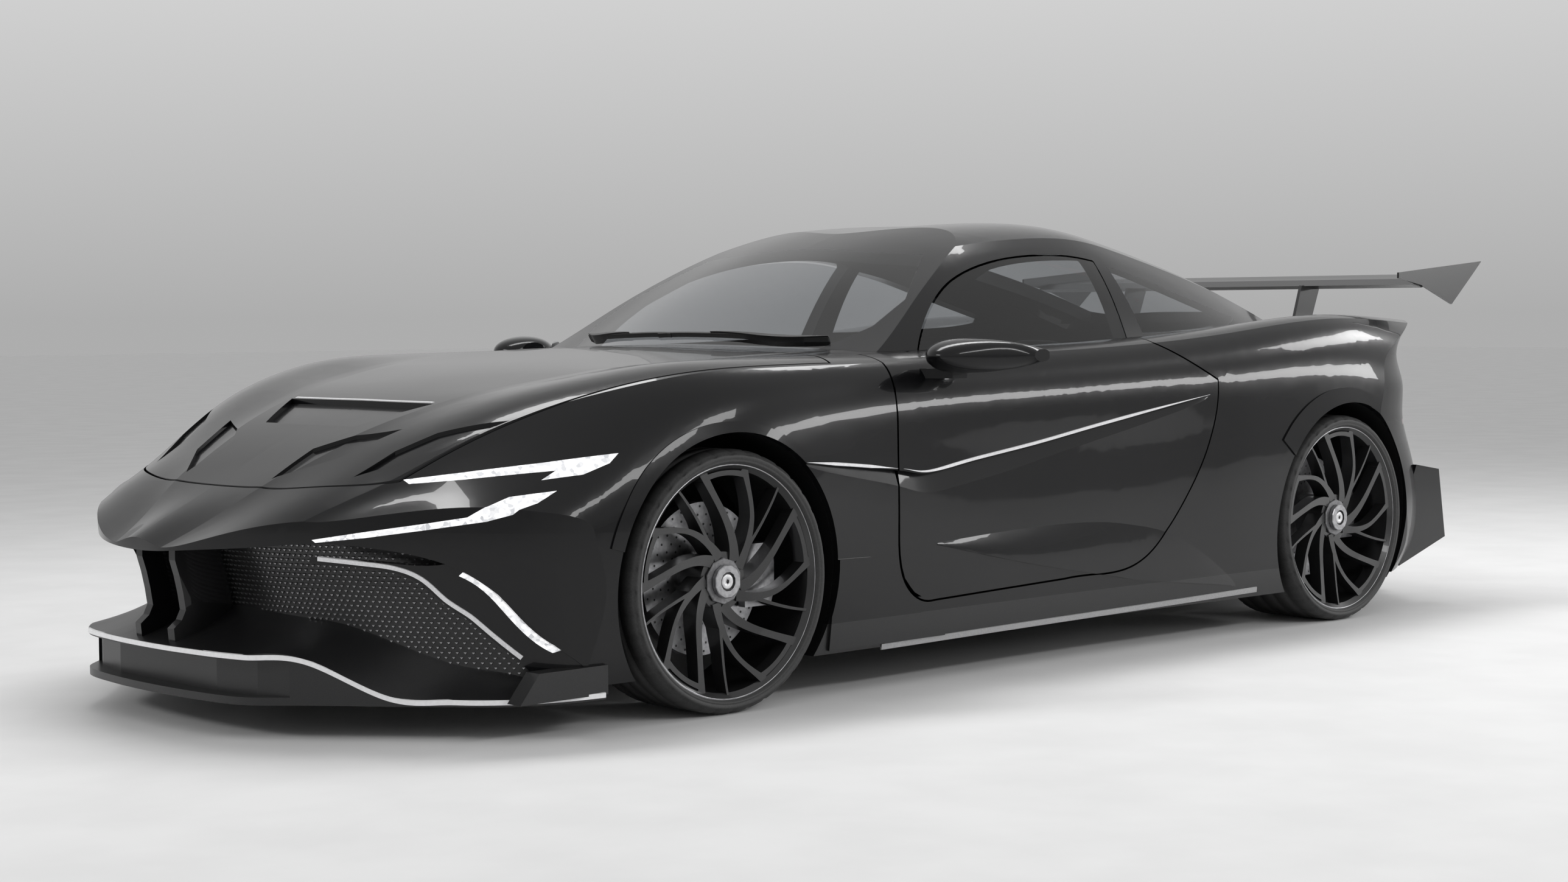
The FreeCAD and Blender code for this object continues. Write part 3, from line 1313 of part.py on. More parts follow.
seat_y = size("seat_spacing") / 2
keep("front_seats", Part.makeCompound([front_seat(seat_y), front_seat(-seat_y)]))
REAR_SEAT = [(-2150, 0), (-2140, 170), (-2480, 130), (-2560, 560), (-2639, 590), (-2639, 0)]
lift = floor_top
rear_seats = []
for inner_y, outer_y in ((125, 520), (-520, -125)):
    wire = Part.makePolygon([Vector(at_x(x), inner_y, lift + z) for x, z in REAR_SEAT + REAR_SEAT[:1]])
    rear_seats.append(Part.Face(wire).extrude(Vector(0, outer_y - inner_y, 0)))
keep("rear_seats", Part.makeCompound(rear_seats))

# Splitter: its upper side rises from the front edge to the foot of the mesh
SPLITTER_FRONT = [
    (1172, 0, 215), (1169, 120, 215), (1158, 244, 215), (1125, 391, 214), (1025, 505, 205),
    (885, 672, 114), (775, 790, 106), (663, 898, 106), (434, 962, 106),
]
SPLITTER_BACK = [
    (962, 0, 306), (955, 110, 306), (935, 210, 306), (885, 340, 304), (820, 470, 298), (738, 620, 264),
    (660, 730, 224), (586, 828, 184), (410, 905, 150),
]
SPLITTER_SAG = (14, 22)
SPLITTER_BOTTOM = 88


def along_front(points, lower=0.0):
    half = [Vector(at_x(x), at_y(y), at_z(z) - lower) for x, y, z in points]
    return [Vector(p.x, -p.y, p.z) for p in reversed(half[1:])] + half


front_row = along_front(SPLITTER_FRONT)
back_row = along_front(SPLITTER_BACK)
near_row = [f + (b - f) / 3 - Vector(0, 0, SPLITTER_SAG[0]) for f, b in zip(front_row, back_row)]
far_row = [f + (b - f) * 2 / 3 - Vector(0, 0, SPLITTER_SAG[1]) for f, b in zip(front_row, back_row)]
splitter_top = skin_face([front_row, near_row, far_row, back_row])
splitter_full = splitter_top.extrude(Vector(0, 0, -400))
if splitter_full.Volume < 0:
    splitter_full.reverse()
bottom = at_z(SPLITTER_BOTTOM)
splitter = splitter_full.common(block(-3000, 3000, -1200, 1200, bottom, 600))
UNDERCUT = [(1300, 0), (1300, 480), (1040, 480), (1085, 391), (1113, 244), (1127, 0)]
undercut = plan_face(polygon_runs(UNDERCUT[1:-1])).extrude(Vector(0, 0, at_z(90)))
undercut.translate(Vector(0, 0, at_z(108)))
splitter = splitter.cut(undercut)
END_BLOCK = [(640, 173), (422, 174), (422, 100), (700, 100)]
end_block = side_prism(END_BLOCK, at_y(905), at_y(958))
splitter = joined([splitter, end_block, mirrored(end_block)])
splitter = splitter.cut(front_bumper).cut(arch_space(size("liner_thickness") + seat, 60))
splitter = max(splitter.Solids, key=lambda solid: solid.Volume)

# Grille: a woven sheet set back in the mouth, deeper in the middle than at its ends
MESH_PLAN = [
    (0, -188), (150, -198), (300, -225), (500, -300), (670, -392), (800, -490), (900, -604),
    (960, -752), (1000, -930), (1060, -1330),
]
mesh_thickness = size("mesh_thickness")


def mesh_end(shift):
    return swept_end(MESH_PLAN, NOSE_PROFILE, 1500, shift)


mesh_half = lower_body().common(block(at_x(440), at_x(1400), 0, 1300, bottom, 1200))
mesh_half = mesh_half.common(mesh_end(-mesh_thickness)).cut(mesh_end(0)).common(mouth_long)
mesh_half = mesh_half.cut(splitter_full).cut(front_bumper)
MESH_LEAST = 400
mesh_pieces = []
for solid in mesh_half.Solids:
    if solid.BoundBox.ZMax < at_z(MESH_LEAST):
        continue
    if solid.CenterOfMass.y < at_y(POST_Y[1]):
        mesh_pieces.append(joined([solid, mirrored(solid)]))
    else:
        mesh_pieces += [solid, mirrored(solid)]
grille = Part.makeCompound(mesh_pieces)
splitter = splitter.cut(grille)
splitter = max(splitter.Solids, key=lambda solid: solid.Volume)
front_bumper = front_bumper.cut(grille)
front_bumper = max(front_bumper.Solids, key=lambda solid: solid.Volume)
keep("front_splitter", splitter)
keep("grille_mesh", grille)
tub = tub.cut(splitter)
tub = tub.cut(grille)
tub = tub.cut(front_bumper)
keep("floor_tub", max(tub.Solids, key=lambda solid: solid.Volume))
keep("front_bumper", front_bumper)

# Lamps and diffuser
lit = headlamp.Solids + [day_lamp]
keep("headlamps", Part.makeCompound(lit + [mirrored(piece) for piece in lit]))
keep("tail_lamps", Part.makeCompound(tail_lamp.Solids + mirrored(tail_lamp).Solids))
DIFFUSER = [(-3300, 120), (-3300, 140), (-3700, 230), (-3745, 230), (-3745, 200), (-3500, 120)]
diffuser = side_prism(DIFFUSER, -560, 560)
DIFFUSER_FIN = [(-3300, 120), (-3500, 120), (-3745, 200), (-3745, 130), (-3500, 90), (-3320, 105)]
FIN_PLACES = (-480, -240, 0, 240, 480)
FIN_HALF = 6
fins = [side_prism(DIFFUSER_FIN, y - FIN_HALF, y + FIN_HALF) for y in FIN_PLACES]
diffuser = joined([diffuser] + fins).cut(shell)
keep("rear_diffuser", diffuser)

# Wing on the boot lid
wing_half = size("wing_span") / 2
WING_SECTION = [
    (-3380, 1148), (-3444, 1170), (-3560, 1178), (-3690, 1190), (-3700, 1184), (-3560, 1156),
    (-3444, 1137),
]
WING_NOSE = (-3380, 1154)
WING_DRAWN = (320, 33)
wing_points = []
for x, z in WING_SECTION:
    along = (x - WING_NOSE[0]) * size("wing_chord") / WING_DRAWN[0]
    rise = (z - WING_NOSE[1]) * size("wing_thickness") / WING_DRAWN[1]
    wing_points.append((WING_NOSE[0] + along, WING_NOSE[1] + rise))
wing_blade = side_prism(wing_points, -wing_half, wing_half)
END_PLATE = [(-3290, 1170), (-3290, 1190), (-3840, 1236), (-3800, 1203), (-3640, 1078), (-3440, 1146)]
plates = []
for side in (1, -1):
    ys = sorted((side * wing_half, side * (wing_half + 8)))
    plates.append(side_prism(END_PLATE, ys[0], ys[1]))
SUPPORT = [(-3318, 1000), (-3425, 1000), (-3493, 1160), (-3372, 1150)]
supports = []
for side in (1, -1):
    ys = sorted((side * 400, side * 412))
    supports.append(side_prism(SUPPORT, ys[0], ys[1]))
wing = joined([wing_blade] + plates + supports).cut(outer)
keep("rear_wing", max(wing.Solids, key=lambda solid: solid.Volume))

# Mirrors on the doors: a long cap, cut off behind along a slanted plane, on a flat stalk
CAP_SECTIONS = [
    (935, -830, 50, 30), (970, -840, 100, 46), (1030, -860, 125, 50), (1090, -920, 105, 42),
    (1150, -1030, 34, 18),
]
CAP_HEIGHT = 932
cap_sections = []
for across, along, long_half, high_half in CAP_SECTIONS:
    ring = Part.Ellipse(Vector(0, 0, 0), long_half, high_half).toShape()
    ring.rotate(Vector(0, 0, 0), Vector(1, 0, 0), 90)
    ring.translate(Vector(at_x(along), at_y(across), at_z(CAP_HEIGHT)))
    cap_sections.append(Part.Wire([ring]))
cap = Part.makeLoft(cap_sections, True)
MIRROR_BACK = [(-950, 930), (-1060, 1150), (-1260, 1150), (-1260, 900), (-935, 900)]
cap = cap.cut(plan_prism(MIRROR_BACK, 500, 1500))
STALK = [(-760, 870), (-850, 870), (-875, 1000), (-815, 1000)]
stalk = plan_prism(STALK, at_z(868), at_z(896))
mirror = joined([cap, stalk]).cut(outer)
mirror = max(mirror.Solids, key=lambda solid: solid.Volume)
keep("mirror_left", mirror)
keep("mirror_right", mirrored(mirror))

doc.recompute()
for item in doc.Objects:
    if "Invalid" in item.State or "Error" in item.State:
        raise RuntimeError(f"{item.Name} did not build")
for piece in nodes:
    if piece.Shape.isNull() or not piece.Shape.isValid():
        raise RuntimeError(f"{piece.Label} has no valid shape")
os.makedirs("parts", exist_ok=True)
for piece in nodes:
    piece.Shape.exportStep(f"parts/{piece.Label}.step")
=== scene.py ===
import bmesh
import bpy
import math
from mathutils import Matrix, Vector
from mathutils.bvhtree import BVHTree


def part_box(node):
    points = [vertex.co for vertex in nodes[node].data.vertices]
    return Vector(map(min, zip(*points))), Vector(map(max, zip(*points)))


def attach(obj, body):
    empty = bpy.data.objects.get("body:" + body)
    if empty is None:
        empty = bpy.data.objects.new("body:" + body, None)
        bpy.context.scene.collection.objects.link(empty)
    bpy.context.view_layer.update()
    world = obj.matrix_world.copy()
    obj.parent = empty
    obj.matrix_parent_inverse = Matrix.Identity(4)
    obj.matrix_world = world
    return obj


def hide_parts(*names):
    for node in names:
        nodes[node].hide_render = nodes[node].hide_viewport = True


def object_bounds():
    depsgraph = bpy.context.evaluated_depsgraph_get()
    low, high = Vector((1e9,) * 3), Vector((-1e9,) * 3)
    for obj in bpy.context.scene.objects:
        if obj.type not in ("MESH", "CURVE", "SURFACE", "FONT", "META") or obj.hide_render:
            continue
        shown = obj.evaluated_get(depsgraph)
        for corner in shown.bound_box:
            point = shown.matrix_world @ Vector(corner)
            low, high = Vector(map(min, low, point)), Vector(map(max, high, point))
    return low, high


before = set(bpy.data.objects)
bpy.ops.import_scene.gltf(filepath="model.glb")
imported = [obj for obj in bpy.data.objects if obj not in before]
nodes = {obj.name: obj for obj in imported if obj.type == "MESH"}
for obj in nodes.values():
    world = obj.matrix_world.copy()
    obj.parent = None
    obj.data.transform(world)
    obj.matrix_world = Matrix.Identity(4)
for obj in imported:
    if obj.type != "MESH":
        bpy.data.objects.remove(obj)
bounds_at_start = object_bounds()
scene = bpy.context.scene
tau = 2 * math.pi

# Sizes of the car that the pieces below are placed by, in metres
FRONT_AXLE = 1.320
REAR_AXLE = -1.510
AXLE_HEIGHT = 0.350
HALF_WIDTH = 0.990
TYRE_INSET = 0.022
FRONT_TYRE = 0.265
REAR_TYRE = 0.315
TYRE_TOP = 0.350
RIM_EDGE = 0.312
DISC_PLACE = -0.012
DISC_HALF = 0.0175


def wheel_middle(width):
    """Distance of a wheel's middle plane from the car's middle."""
    return HALF_WIDTH - TYRE_INSET - width / 2


# Materials
def new_material(name):
    material = bpy.data.materials.new(name)
    material.use_nodes = True
    tree = material.node_tree
    return material, tree, tree.nodes["Principled BSDF"]


def noise_bump(tree, shader, scale, strength, detail=4.0):
    """Fine surface texture on a shader's normal; gives back the noise it is made from."""
    where = tree.nodes.new("ShaderNodeTexCoord")
    noise = tree.nodes.new("ShaderNodeTexNoise")
    noise.inputs["Scale"].default_value = scale
    noise.inputs["Detail"].default_value = detail
    bump = tree.nodes.new("ShaderNodeBump")
    bump.inputs["Strength"].default_value = strength
    bump.inputs["Distance"].default_value = 0.001
    tree.links.new(where.outputs["Object"], noise.inputs["Vector"])
    tree.links.new(noise.outputs["Fac"], bump.inputs["Height"])
    tree.links.new(bump.outputs["Normal"], shader.inputs["Normal"])
    return noise


def mottled(tree, shader, noise, dark, light, low=0.35, high=0.65):
    """Colour that drifts between two close tones."""
    ramp = tree.nodes.new("ShaderNodeValToRGB")
    ramp.color_ramp.elements[0].position = low
    ramp.color_ramp.elements[0].color = (*dark, 1)
    ramp.color_ramp.elements[1].position = high
    ramp.color_ramp.elements[1].color = (*light, 1)
    tree.links.new(noise.outputs["Fac"], ramp.inputs["Fac"])
    tree.links.new(ramp.outputs["Color"], shader.inputs["Base Color"])


def simple(name, dark, light, rough, metal=0.0, scale=40.0, bump=0.02, coat=0.0):
    """An even finish with a fine texture."""
    material, tree, shader = new_material(name)
    noise = noise_bump(tree, shader, scale, bump)
    mottled(tree, shader, noise, dark, light)
    shader.inputs["Roughness"].default_value = rough
    shader.inputs["Metallic"].default_value = metal
    shader.inputs["Coat Weight"].default_value = coat
    shader.inputs["Coat Roughness"].default_value = 0.03
    return material


def paint_material():
    material, tree, shader = new_material("gloss_black_paint")
    noise = noise_bump(tree, shader, 900.0, 0.004)
    mottled(tree, shader, noise, (0.0035, 0.0035, 0.004), (0.006, 0.006, 0.0065))
    shader.inputs["Roughness"].default_value = 0.22
    shader.inputs["Coat Weight"].default_value = 0.4
    shader.inputs["Coat Roughness"].default_value = 0.02
    shader.inputs["Specular IOR Level"].default_value = 0.12
    return material


def glass_material(name, tint):
    """Tinted clear glass that mirrors on its outer side only."""
    material = bpy.data.materials.new(name)
    material.use_nodes = True
    tree = material.node_tree
    tree.nodes.remove(tree.nodes["Principled BSDF"])
    clear = tree.nodes.new("ShaderNodeBsdfTransparent")
    clear.inputs["Color"].default_value = (*tint, 1)
    gloss = tree.nodes.new("ShaderNodeBsdfGlossy")
    gloss.inputs["Roughness"].default_value = 0.01
    gloss.inputs["Color"].default_value = (1, 1, 1, 1)
    fresnel = tree.nodes.new("ShaderNodeFresnel")
    fresnel.inputs["IOR"].default_value = 1.5
    blend = tree.nodes.new("ShaderNodeMixShader")
    place = tree.nodes.new("ShaderNodeNewGeometry")
    outside = tree.nodes.new("ShaderNodeMath")
    outside.operation = "SUBTRACT"
    outside.inputs[0].default_value = 1.0
    shine = tree.nodes.new("ShaderNodeMath")
    shine.operation = "MULTIPLY"
    tree.links.new(place.outputs["Backfacing"], outside.inputs[1])
    tree.links.new(fresnel.outputs["Fac"], shine.inputs[0])
    tree.links.new(outside.outputs["Value"], shine.inputs[1])
    tree.links.new(shine.outputs["Value"], blend.inputs["Fac"])
    tree.links.new(clear.outputs["BSDF"], blend.inputs[1])
    tree.links.new(gloss.outputs["BSDF"], blend.inputs[2])
    tree.links.new(blend.outputs["Shader"], tree.nodes["Material Output"].inputs["Surface"])
    return material


PAINT = paint_material()
WHITE_EDGE = simple("white_edge", (0.82, 0.82, 0.83), (0.88, 0.88, 0.89), 0.25, scale=120, coat=0.6)
MESH_METAL = simple("mesh_metal", (0.20, 0.20, 0.205), (0.30, 0.30, 0.305), 0.24, metal=0.85, scale=260)
MIRROR = simple("mirror_face", (0.78, 0.79, 0.80), (0.82, 0.83, 0.84), 0.02, metal=1.0, scale=8, bump=0.001)
RUBBER_TRIM = simple("wiper_rubber", (0.010, 0.010, 0.010), (0.016, 0.016, 0.016), 0.6, scale=300, bump=0.1)
TRIM = simple("satin_black_trim", (0.005, 0.005, 0.0055), (0.009, 0.009, 0.0095), 0.34, bump=0.03, scale=300)
GREY_TRIM = simple("satin_grey_trim", (0.30, 0.30, 0.305), (0.38, 0.38, 0.385), 0.34, metal=0.35, scale=300)
SILVER = simple(
    "bright_silver", (0.66, 0.66, 0.67), (0.76, 0.76, 0.77), 0.3, metal=0.35, scale=200, bump=0.01,
)
CHASSIS = simple("chassis_coat", (0.012, 0.012, 0.012), (0.02, 0.02, 0.02), 0.6, scale=60, bump=0.2)
STEEL = simple("machined_steel", (0.30, 0.30, 0.31), (0.42, 0.42, 0.43), 0.32, metal=1.0, scale=80)
CAST = simple("cast_metal", (0.16, 0.16, 0.165), (0.22, 0.22, 0.225), 0.5, metal=0.8, scale=150, bump=0.3)
PLASTIC = simple("cabin_plastic", (0.014, 0.014, 0.015), (0.02, 0.02, 0.021), 0.55, scale=700, bump=0.3)
LEATHER = simple("black_leather", (0.012, 0.012, 0.013), (0.022, 0.022, 0.023), 0.45, scale=500, bump=0.4)
RIM = simple("rim_black", (0.009, 0.009, 0.0095), (0.013, 0.013, 0.0135), 0.3, scale=200, coat=0.3)
RUBBER = simple("tyre_rubber", (0.022, 0.022, 0.022), (0.034, 0.034, 0.034), 0.62, scale=220, bump=0.25)
CARBON = simple("wing_black", (0.008, 0.008, 0.0085), (0.014, 0.014, 0.0145), 0.33, scale=500)
GLASS = glass_material("tinted_glass", (0.80, 0.81, 0.82))
RED = simple("lamp_red", (0.25, 0.004, 0.004), (0.35, 0.008, 0.006), 0.15, coat=1.0)


def lit_material():
    """The lit insides of the headlamps, with small bright cells."""
    material, tree, shader = new_material("lit_crystal")
    where = tree.nodes.new("ShaderNodeTexCoord")
    cells = tree.nodes.new("ShaderNodeTexVoronoi")
    cells.inputs["Scale"].default_value = 95.0
    ramp = tree.nodes.new("ShaderNodeValToRGB")
    ramp.color_ramp.elements[0].position = 0.0
    ramp.color_ramp.elements[0].color = (0.42, 0.43, 0.45, 1)
    ramp.color_ramp.elements[1].position = 0.65
    ramp.color_ramp.elements[1].color = (0.95, 0.95, 0.96, 1)
    tree.links.new(where.outputs["Object"], cells.inputs["Vector"])
    tree.links.new(cells.outputs["Color"], ramp.inputs["Fac"])
    tree.links.new(ramp.outputs["Color"], shader.inputs["Emission Color"])
    tree.links.new(ramp.outputs["Color"], shader.inputs["Base Color"])
    shader.inputs["Emission Strength"].default_value = 0.5
    shader.inputs["Roughness"].default_value = 0.2
    return material


LIT = lit_material()


def red_lit_material():
    material, tree, shader = new_material("lit_red")
    noise = noise_bump(tree, shader, 300.0, 0.05)
    mottled(tree, shader, noise, (0.5, 0.01, 0.01), (0.7, 0.02, 0.015))
    shader.inputs["Emission Color"].default_value = (1.0, 0.03, 0.02, 1)
    shader.inputs["Emission Strength"].default_value = 0.8
    return material


RED_LIT = red_lit_material()


def assign(obj, material):
    obj.data.materials.clear()
    obj.data.materials.append(material)


# The first key found in a node's name gives its finish
FINISHES = [
    ("tyre_", RUBBER), ("wheel_liners", TRIM), ("wheel_", RIM), ("glass", GLASS), ("windscreen", GLASS),
    ("rear_window", GLASS), ("knuckle", STEEL), ("suspension", STEEL), ("axle", STEEL), ("engine", CAST),
    ("dashboard", PLASTIC), ("steering", PLASTIC), ("seats", LEATHER), ("headlamps", LIT),
    ("tail_lamps", RED), ("wing", CARBON), ("floor", CHASSIS), ("skirts", TRIM), ("splitter", TRIM),
    ("diffuser", TRIM), ("grille", TRIM),
]


def material_of(name):
    for key, material in FINISHES:
        if key in name:
            return material
    return PAINT


for name, node in nodes.items():
    assign(node, material_of(name))


def paint_faces(name, material, chosen):
    """Another finish on the faces whose middle a rule picks."""
    mesh = nodes[name].data
    mesh.materials.append(material)
    slot = len(mesh.materials) - 1
    for polygon in mesh.polygons:
        if chosen(polygon.center):
            polygon.material_index = slot


HUB_EDGE = 0.080
DISC_EDGE = 0.2055


def disc_rule(axle, wheel_y):
    """A rule that picks the faces of a wheel's brake disc."""
    def chosen(place):
        radius = math.hypot(place.x - axle, place.z - AXLE_HEIGHT)
        return HUB_EDGE < radius < DISC_EDGE and abs(abs(place.y) - (wheel_y + DISC_PLACE)) < DISC_HALF
    return chosen


for side in ("left", "right"):
    paint_faces(f"wheel_front_{side}", STEEL, disc_rule(FRONT_AXLE, wheel_middle(FRONT_TYRE)))
    paint_faces(f"wheel_rear_{side}", STEEL, disc_rule(REAR_AXLE, wheel_middle(REAR_TYRE)))

# Camera at the photograph's place and angle
FRAME_WIDTH = 2576
FOCAL_PIXELS = 4090.85
SENSOR = 36.0
CAMERA_PLACE = (4.40078 + FRONT_AXLE, 5.76386, 1.04952)
yaw = -2.33367
pitch = 0.050493
roll = -0.0048461
view_way = Vector((math.cos(yaw) * math.cos(pitch), math.sin(yaw) * math.cos(pitch), -math.sin(pitch)))
right_way = Vector((math.sin(yaw), -math.cos(yaw), 0))
up_way = right_way.cross(view_way)
rolled_right = math.cos(roll) * right_way + math.sin(roll) * up_way
rolled_up = -math.sin(roll) * right_way + math.cos(roll) * up_way
camera_data = bpy.data.cameras.new("main_camera")
camera_data.sensor_width = SENSOR
camera_data.lens = SENSOR * FOCAL_PIXELS / FRAME_WIDTH
camera = bpy.data.objects.new("main_camera", camera_data)
scene.collection.objects.link(camera)
turn = Matrix((rolled_right, rolled_up, -view_way)).transposed().to_4x4()
camera.matrix_world = Matrix.Translation(CAMERA_PLACE) @ turn
scene.camera = camera


# Floor
def plain_sheet(name, points, faces, material):
    mesh = bpy.data.meshes.new(name)
    mesh.from_pydata(points, [], faces)
    obj = bpy.data.objects.new(name, mesh)
    obj.data.materials.append(material)
    scene.collection.objects.link(obj)
    return obj


def floor_material():
    material, tree, shader = new_material("pale_floor")
    noise = noise_bump(tree, shader, 3.0, 0.02)
    mottled(tree, shader, noise, (0.72, 0.72, 0.72), (0.76, 0.76, 0.76))
    shader.inputs["Roughness"].default_value = 0.55
    shader.inputs["Specular IOR Level"].default_value = 0.25
    return material


FLOOR_REACH = 60
floor_corners = [(x * FLOOR_REACH, y * FLOOR_REACH, 0) for x, y in ((-1, -1), (1, -1), (1, 1), (-1, 1))]
floor = plain_sheet("floor", floor_corners, [(0, 1, 2, 3)], floor_material())

# Backdrop: grey at the horizon and paler above, with its own even level for soft light
HORIZON_GREY = 0.42
SKY_GREY = 0.66
FADE_HEIGHT = 0.14
FILL = 0.45
WHITE = (1.0, 1.0, 1.0, 1)


def soft_world():
    world = bpy.data.worlds.new("soft_world")
    world.use_nodes = True
    tree = world.node_tree
    seen = tree.nodes["Background"]
    seen.inputs["Color"].default_value = WHITE
    where = tree.nodes.new("ShaderNodeTexCoord")
    split = tree.nodes.new("ShaderNodeSeparateXYZ")
    fade = tree.nodes.new("ShaderNodeMapRange")
    fade.inputs["From Max"].default_value = FADE_HEIGHT
    fade.inputs["To Min"].default_value = HORIZON_GREY
    fade.inputs["To Max"].default_value = SKY_GREY
    tree.links.new(where.outputs["Generated"], split.inputs["Vector"])
    tree.links.new(split.outputs["Z"], fade.inputs["Value"])
    tree.links.new(fade.outputs["Result"], seen.inputs["Strength"])
    fill = tree.nodes.new("ShaderNodeBackground")
    fill.inputs["Color"].default_value = WHITE
    fill.inputs["Strength"].default_value = FILL
    path = tree.nodes.new("ShaderNodeLightPath")
    blend = tree.nodes.new("ShaderNodeMixShader")
    tree.links.new(path.outputs["Is Diffuse Ray"], blend.inputs["Fac"])
    tree.links.new(seen.outputs["Background"], blend.inputs[1])
    tree.links.new(fill.outputs["Background"], blend.inputs[2])
    tree.links.new(blend.outputs["Shader"], tree.nodes["World Output"].inputs["Surface"])
    return world


scene.world = soft_world()


def soft_light(name, place, target, width, height, power):
    """A rectangular lamp that faces a target."""
    data = bpy.data.lights.new(name, "AREA")
    data.shape = "RECTANGLE"
    data.size = width
    data.size_y = height
    data.energy = power
    lamp = bpy.data.objects.new(name, data)
    scene.collection.objects.link(lamp)
    lamp.location = place
    lamp.rotation_euler = (Vector(target) - Vector(place)).to_track_quat("-Z", "Y").to_euler()


# Lamps: place, target, width, height and power of each
LAMPS = {
    "top_light": ((-0.8, -0.6, 5.2), (-0.6, 0, 0.4), 6.2, 1.1, 240),
    "flank_light": ((-0.6, 7.5, 4.6), (0, 0.9, 0.5), 7.0, 0.7, 170),
    "nose_light": ((7.6, -1.2, 3.4), (1.5, 0, 0.5), 2.8, 0.9, 90),
    "tail_light": ((-7.0, 3.0, 3.6), (-1.5, 0, 0.6), 3.0, 0.9, 90),
    "sill_light": ((-8.4, 6.8, 2.0), (-0.6, 0.9, 0.4), 5.0, 0.7, 130),
}
for name, lamp in LAMPS.items():
    soft_light(name, *lamp)


# Shaping helpers
SHARP_ANGLE = 35
WELD_REACH = 0.0001


def mesh_object(name, verts, faces, material, body, smooth=True):
    """A piece from points and faces that rides on a body."""
    mesh = bpy.data.meshes.new(name)
    mesh.from_pydata([tuple(v) for v in verts], [], faces)
    mesh.validate()
    work = bmesh.new()
    work.from_mesh(mesh)
    bmesh.ops.recalc_face_normals(work, faces=work.faces)
    work.to_mesh(mesh)
    work.free()
    for polygon in mesh.polygons:
        polygon.use_smooth = smooth
    piece = bpy.data.objects.new(name, mesh)
    piece.data.materials.append(material)
    scene.collection.objects.link(piece)
    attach(piece, body)
    return piece


def soften(piece, width, segments):
    """The piece with its sharp edges rounded."""
    bevel = piece.modifiers.new("soft_edge", "BEVEL")
    bevel.width = width
    bevel.segments = segments
    bevel.limit_method = "ANGLE"
    bevel.angle_limit = math.radians(SHARP_ANGLE)
    return piece


def welded(piece):
    """The piece with its coinciding points joined."""
    work = bmesh.new()
    work.from_mesh(piece.data)
    bmesh.ops.remove_doubles(work, verts=work.verts, dist=WELD_REACH)
    bmesh.ops.recalc_face_normals(work, faces=work.faces)
    work.to_mesh(piece.data)
    work.free()
    return piece


def tube_faces(count, size, closed=False):
    """Faces between rings of points of one size; closed joins the last ring to the first."""
    faces = []
    for step in range(count if closed else count - 1):
        after = (step + 1) % count
        for index in range(size):
            follow = (index + 1) % size
            faces.append((
                step * size + index, step * size + follow, after * size + follow, after * size + index,
            ))
    return faces


def surface_of(*names):
    """A search tree over the skins of some nodes."""
    verts = []
    faces = []
    for name in names:
        mesh = nodes[name].data
        start = len(verts)
        verts += [vertex.co.copy() for vertex in mesh.vertices]
        faces += [[start + index for index in polygon.vertices] for polygon in mesh.polygons]
    return BVHTree.FromPolygons(verts, faces)


def smooth_path(points, count):
    """Evenly numbered samples of a smooth curve through some points."""
    points = [Vector(point) for point in points]
    ends = [points[0] * 2 - points[1]] + points + [points[-1] * 2 - points[-2]]
    samples = []
    for index in range(count):
        place = index / (count - 1) * (len(points) - 1)
        step = min(int(place), len(points) - 2)
        t = place - step
        a, b, c, d = ends[step:step + 4]
        samples.append(0.5 * (
            2 * b + (c - a) * t + (2 * a - 5 * b + 4 * c - d) * t * t + (3 * b - a - 3 * c + d) * t ** 3
        ))
    return samples


def dropped(tree, points, way, reach=0.6):
    """Points moved along a direction onto a surface, with the surface's normals."""
    way = Vector(way).normalized()
    spots = []
    for point in points:
        place, normal, _, _ = tree.ray_cast(point - way * reach, way, 2 * reach)
        if place is not None:
            if normal.dot(way) > 0:
                normal = -normal
            spots.append((place, normal))
    return spots


def band_piece(name, rings, material, body):
    """A band from four-cornered rings, closed at both ends."""
    verts = [corner for ring in rings for corner in ring]
    faces = tube_faces(len(rings), 4)
    faces += [(0, 1, 2, 3), tuple(len(verts) - 4 + corner for corner in range(4))]
    return mesh_object(name, verts, faces, material, body, smooth=False)


def strip(name, tree, path, way, width, thick, material, body, count=60, taper=0.0, sink=0.002):
    """A thin raised band along a line on a surface, narrowing to its ends by a share of its length."""
    spots = dropped(tree, smooth_path(path, count), way)
    rings = []
    for index, (place, normal) in enumerate(spots):
        before = spots[max(index - 1, 0)][0]
        after = spots[min(index + 1, len(spots) - 1)][0]
        along = (after - before).normalized()
        side = along.cross(normal).normalized()
        share = index / (len(spots) - 1)
        narrow = 1.0
        if taper:
            narrow = max(0.08, min(1.0, share / taper, (1 - share) / taper))
        half = width / 2 * narrow
        upper_half = half * 0.8
        base = place - normal * sink
        top = place + normal * thick
        rings.append([
            base - side * half, top - side * upper_half, top + side * upper_half, base + side * half,
        ])
    return band_piece(name, rings, material, body)


def both(points):
    """The same line on the other side of the car."""
    return [(x, -y, z) for x, y, z in points]


def row(points, y=None):
    """Points measured from the front axle in millimetres, moved to the model's own place."""
    moved = []
    for point in points:
        if y is None:
            x, across, z = point
        else:
            x, z = point
            across = y
        moved.append((x / 1000 + FRONT_AXLE, across / 1000, z / 1000))
    return moved


# Bright strips of the front: edge of the splitter, brows beside the mesh, line of the bonnet's outlet
SPLITTER_EDGE = [
    (1172, 0, 208), (1169, 120, 208), (1158, 244, 208), (1125, 391, 207), (1025, 505, 198), (885, 672, 107),
    (775, 790, 99), (663, 898, 99), (434, 962, 99),
]
splitter_skin = surface_of("front_splitter")
BAND_HALF = 0.0075
BAND_SINK = 0.003
BAND_RISE = 0.0022
half_edge = row(SPLITTER_EDGE)
whole_edge = both(half_edge)[:0:-1] + half_edge


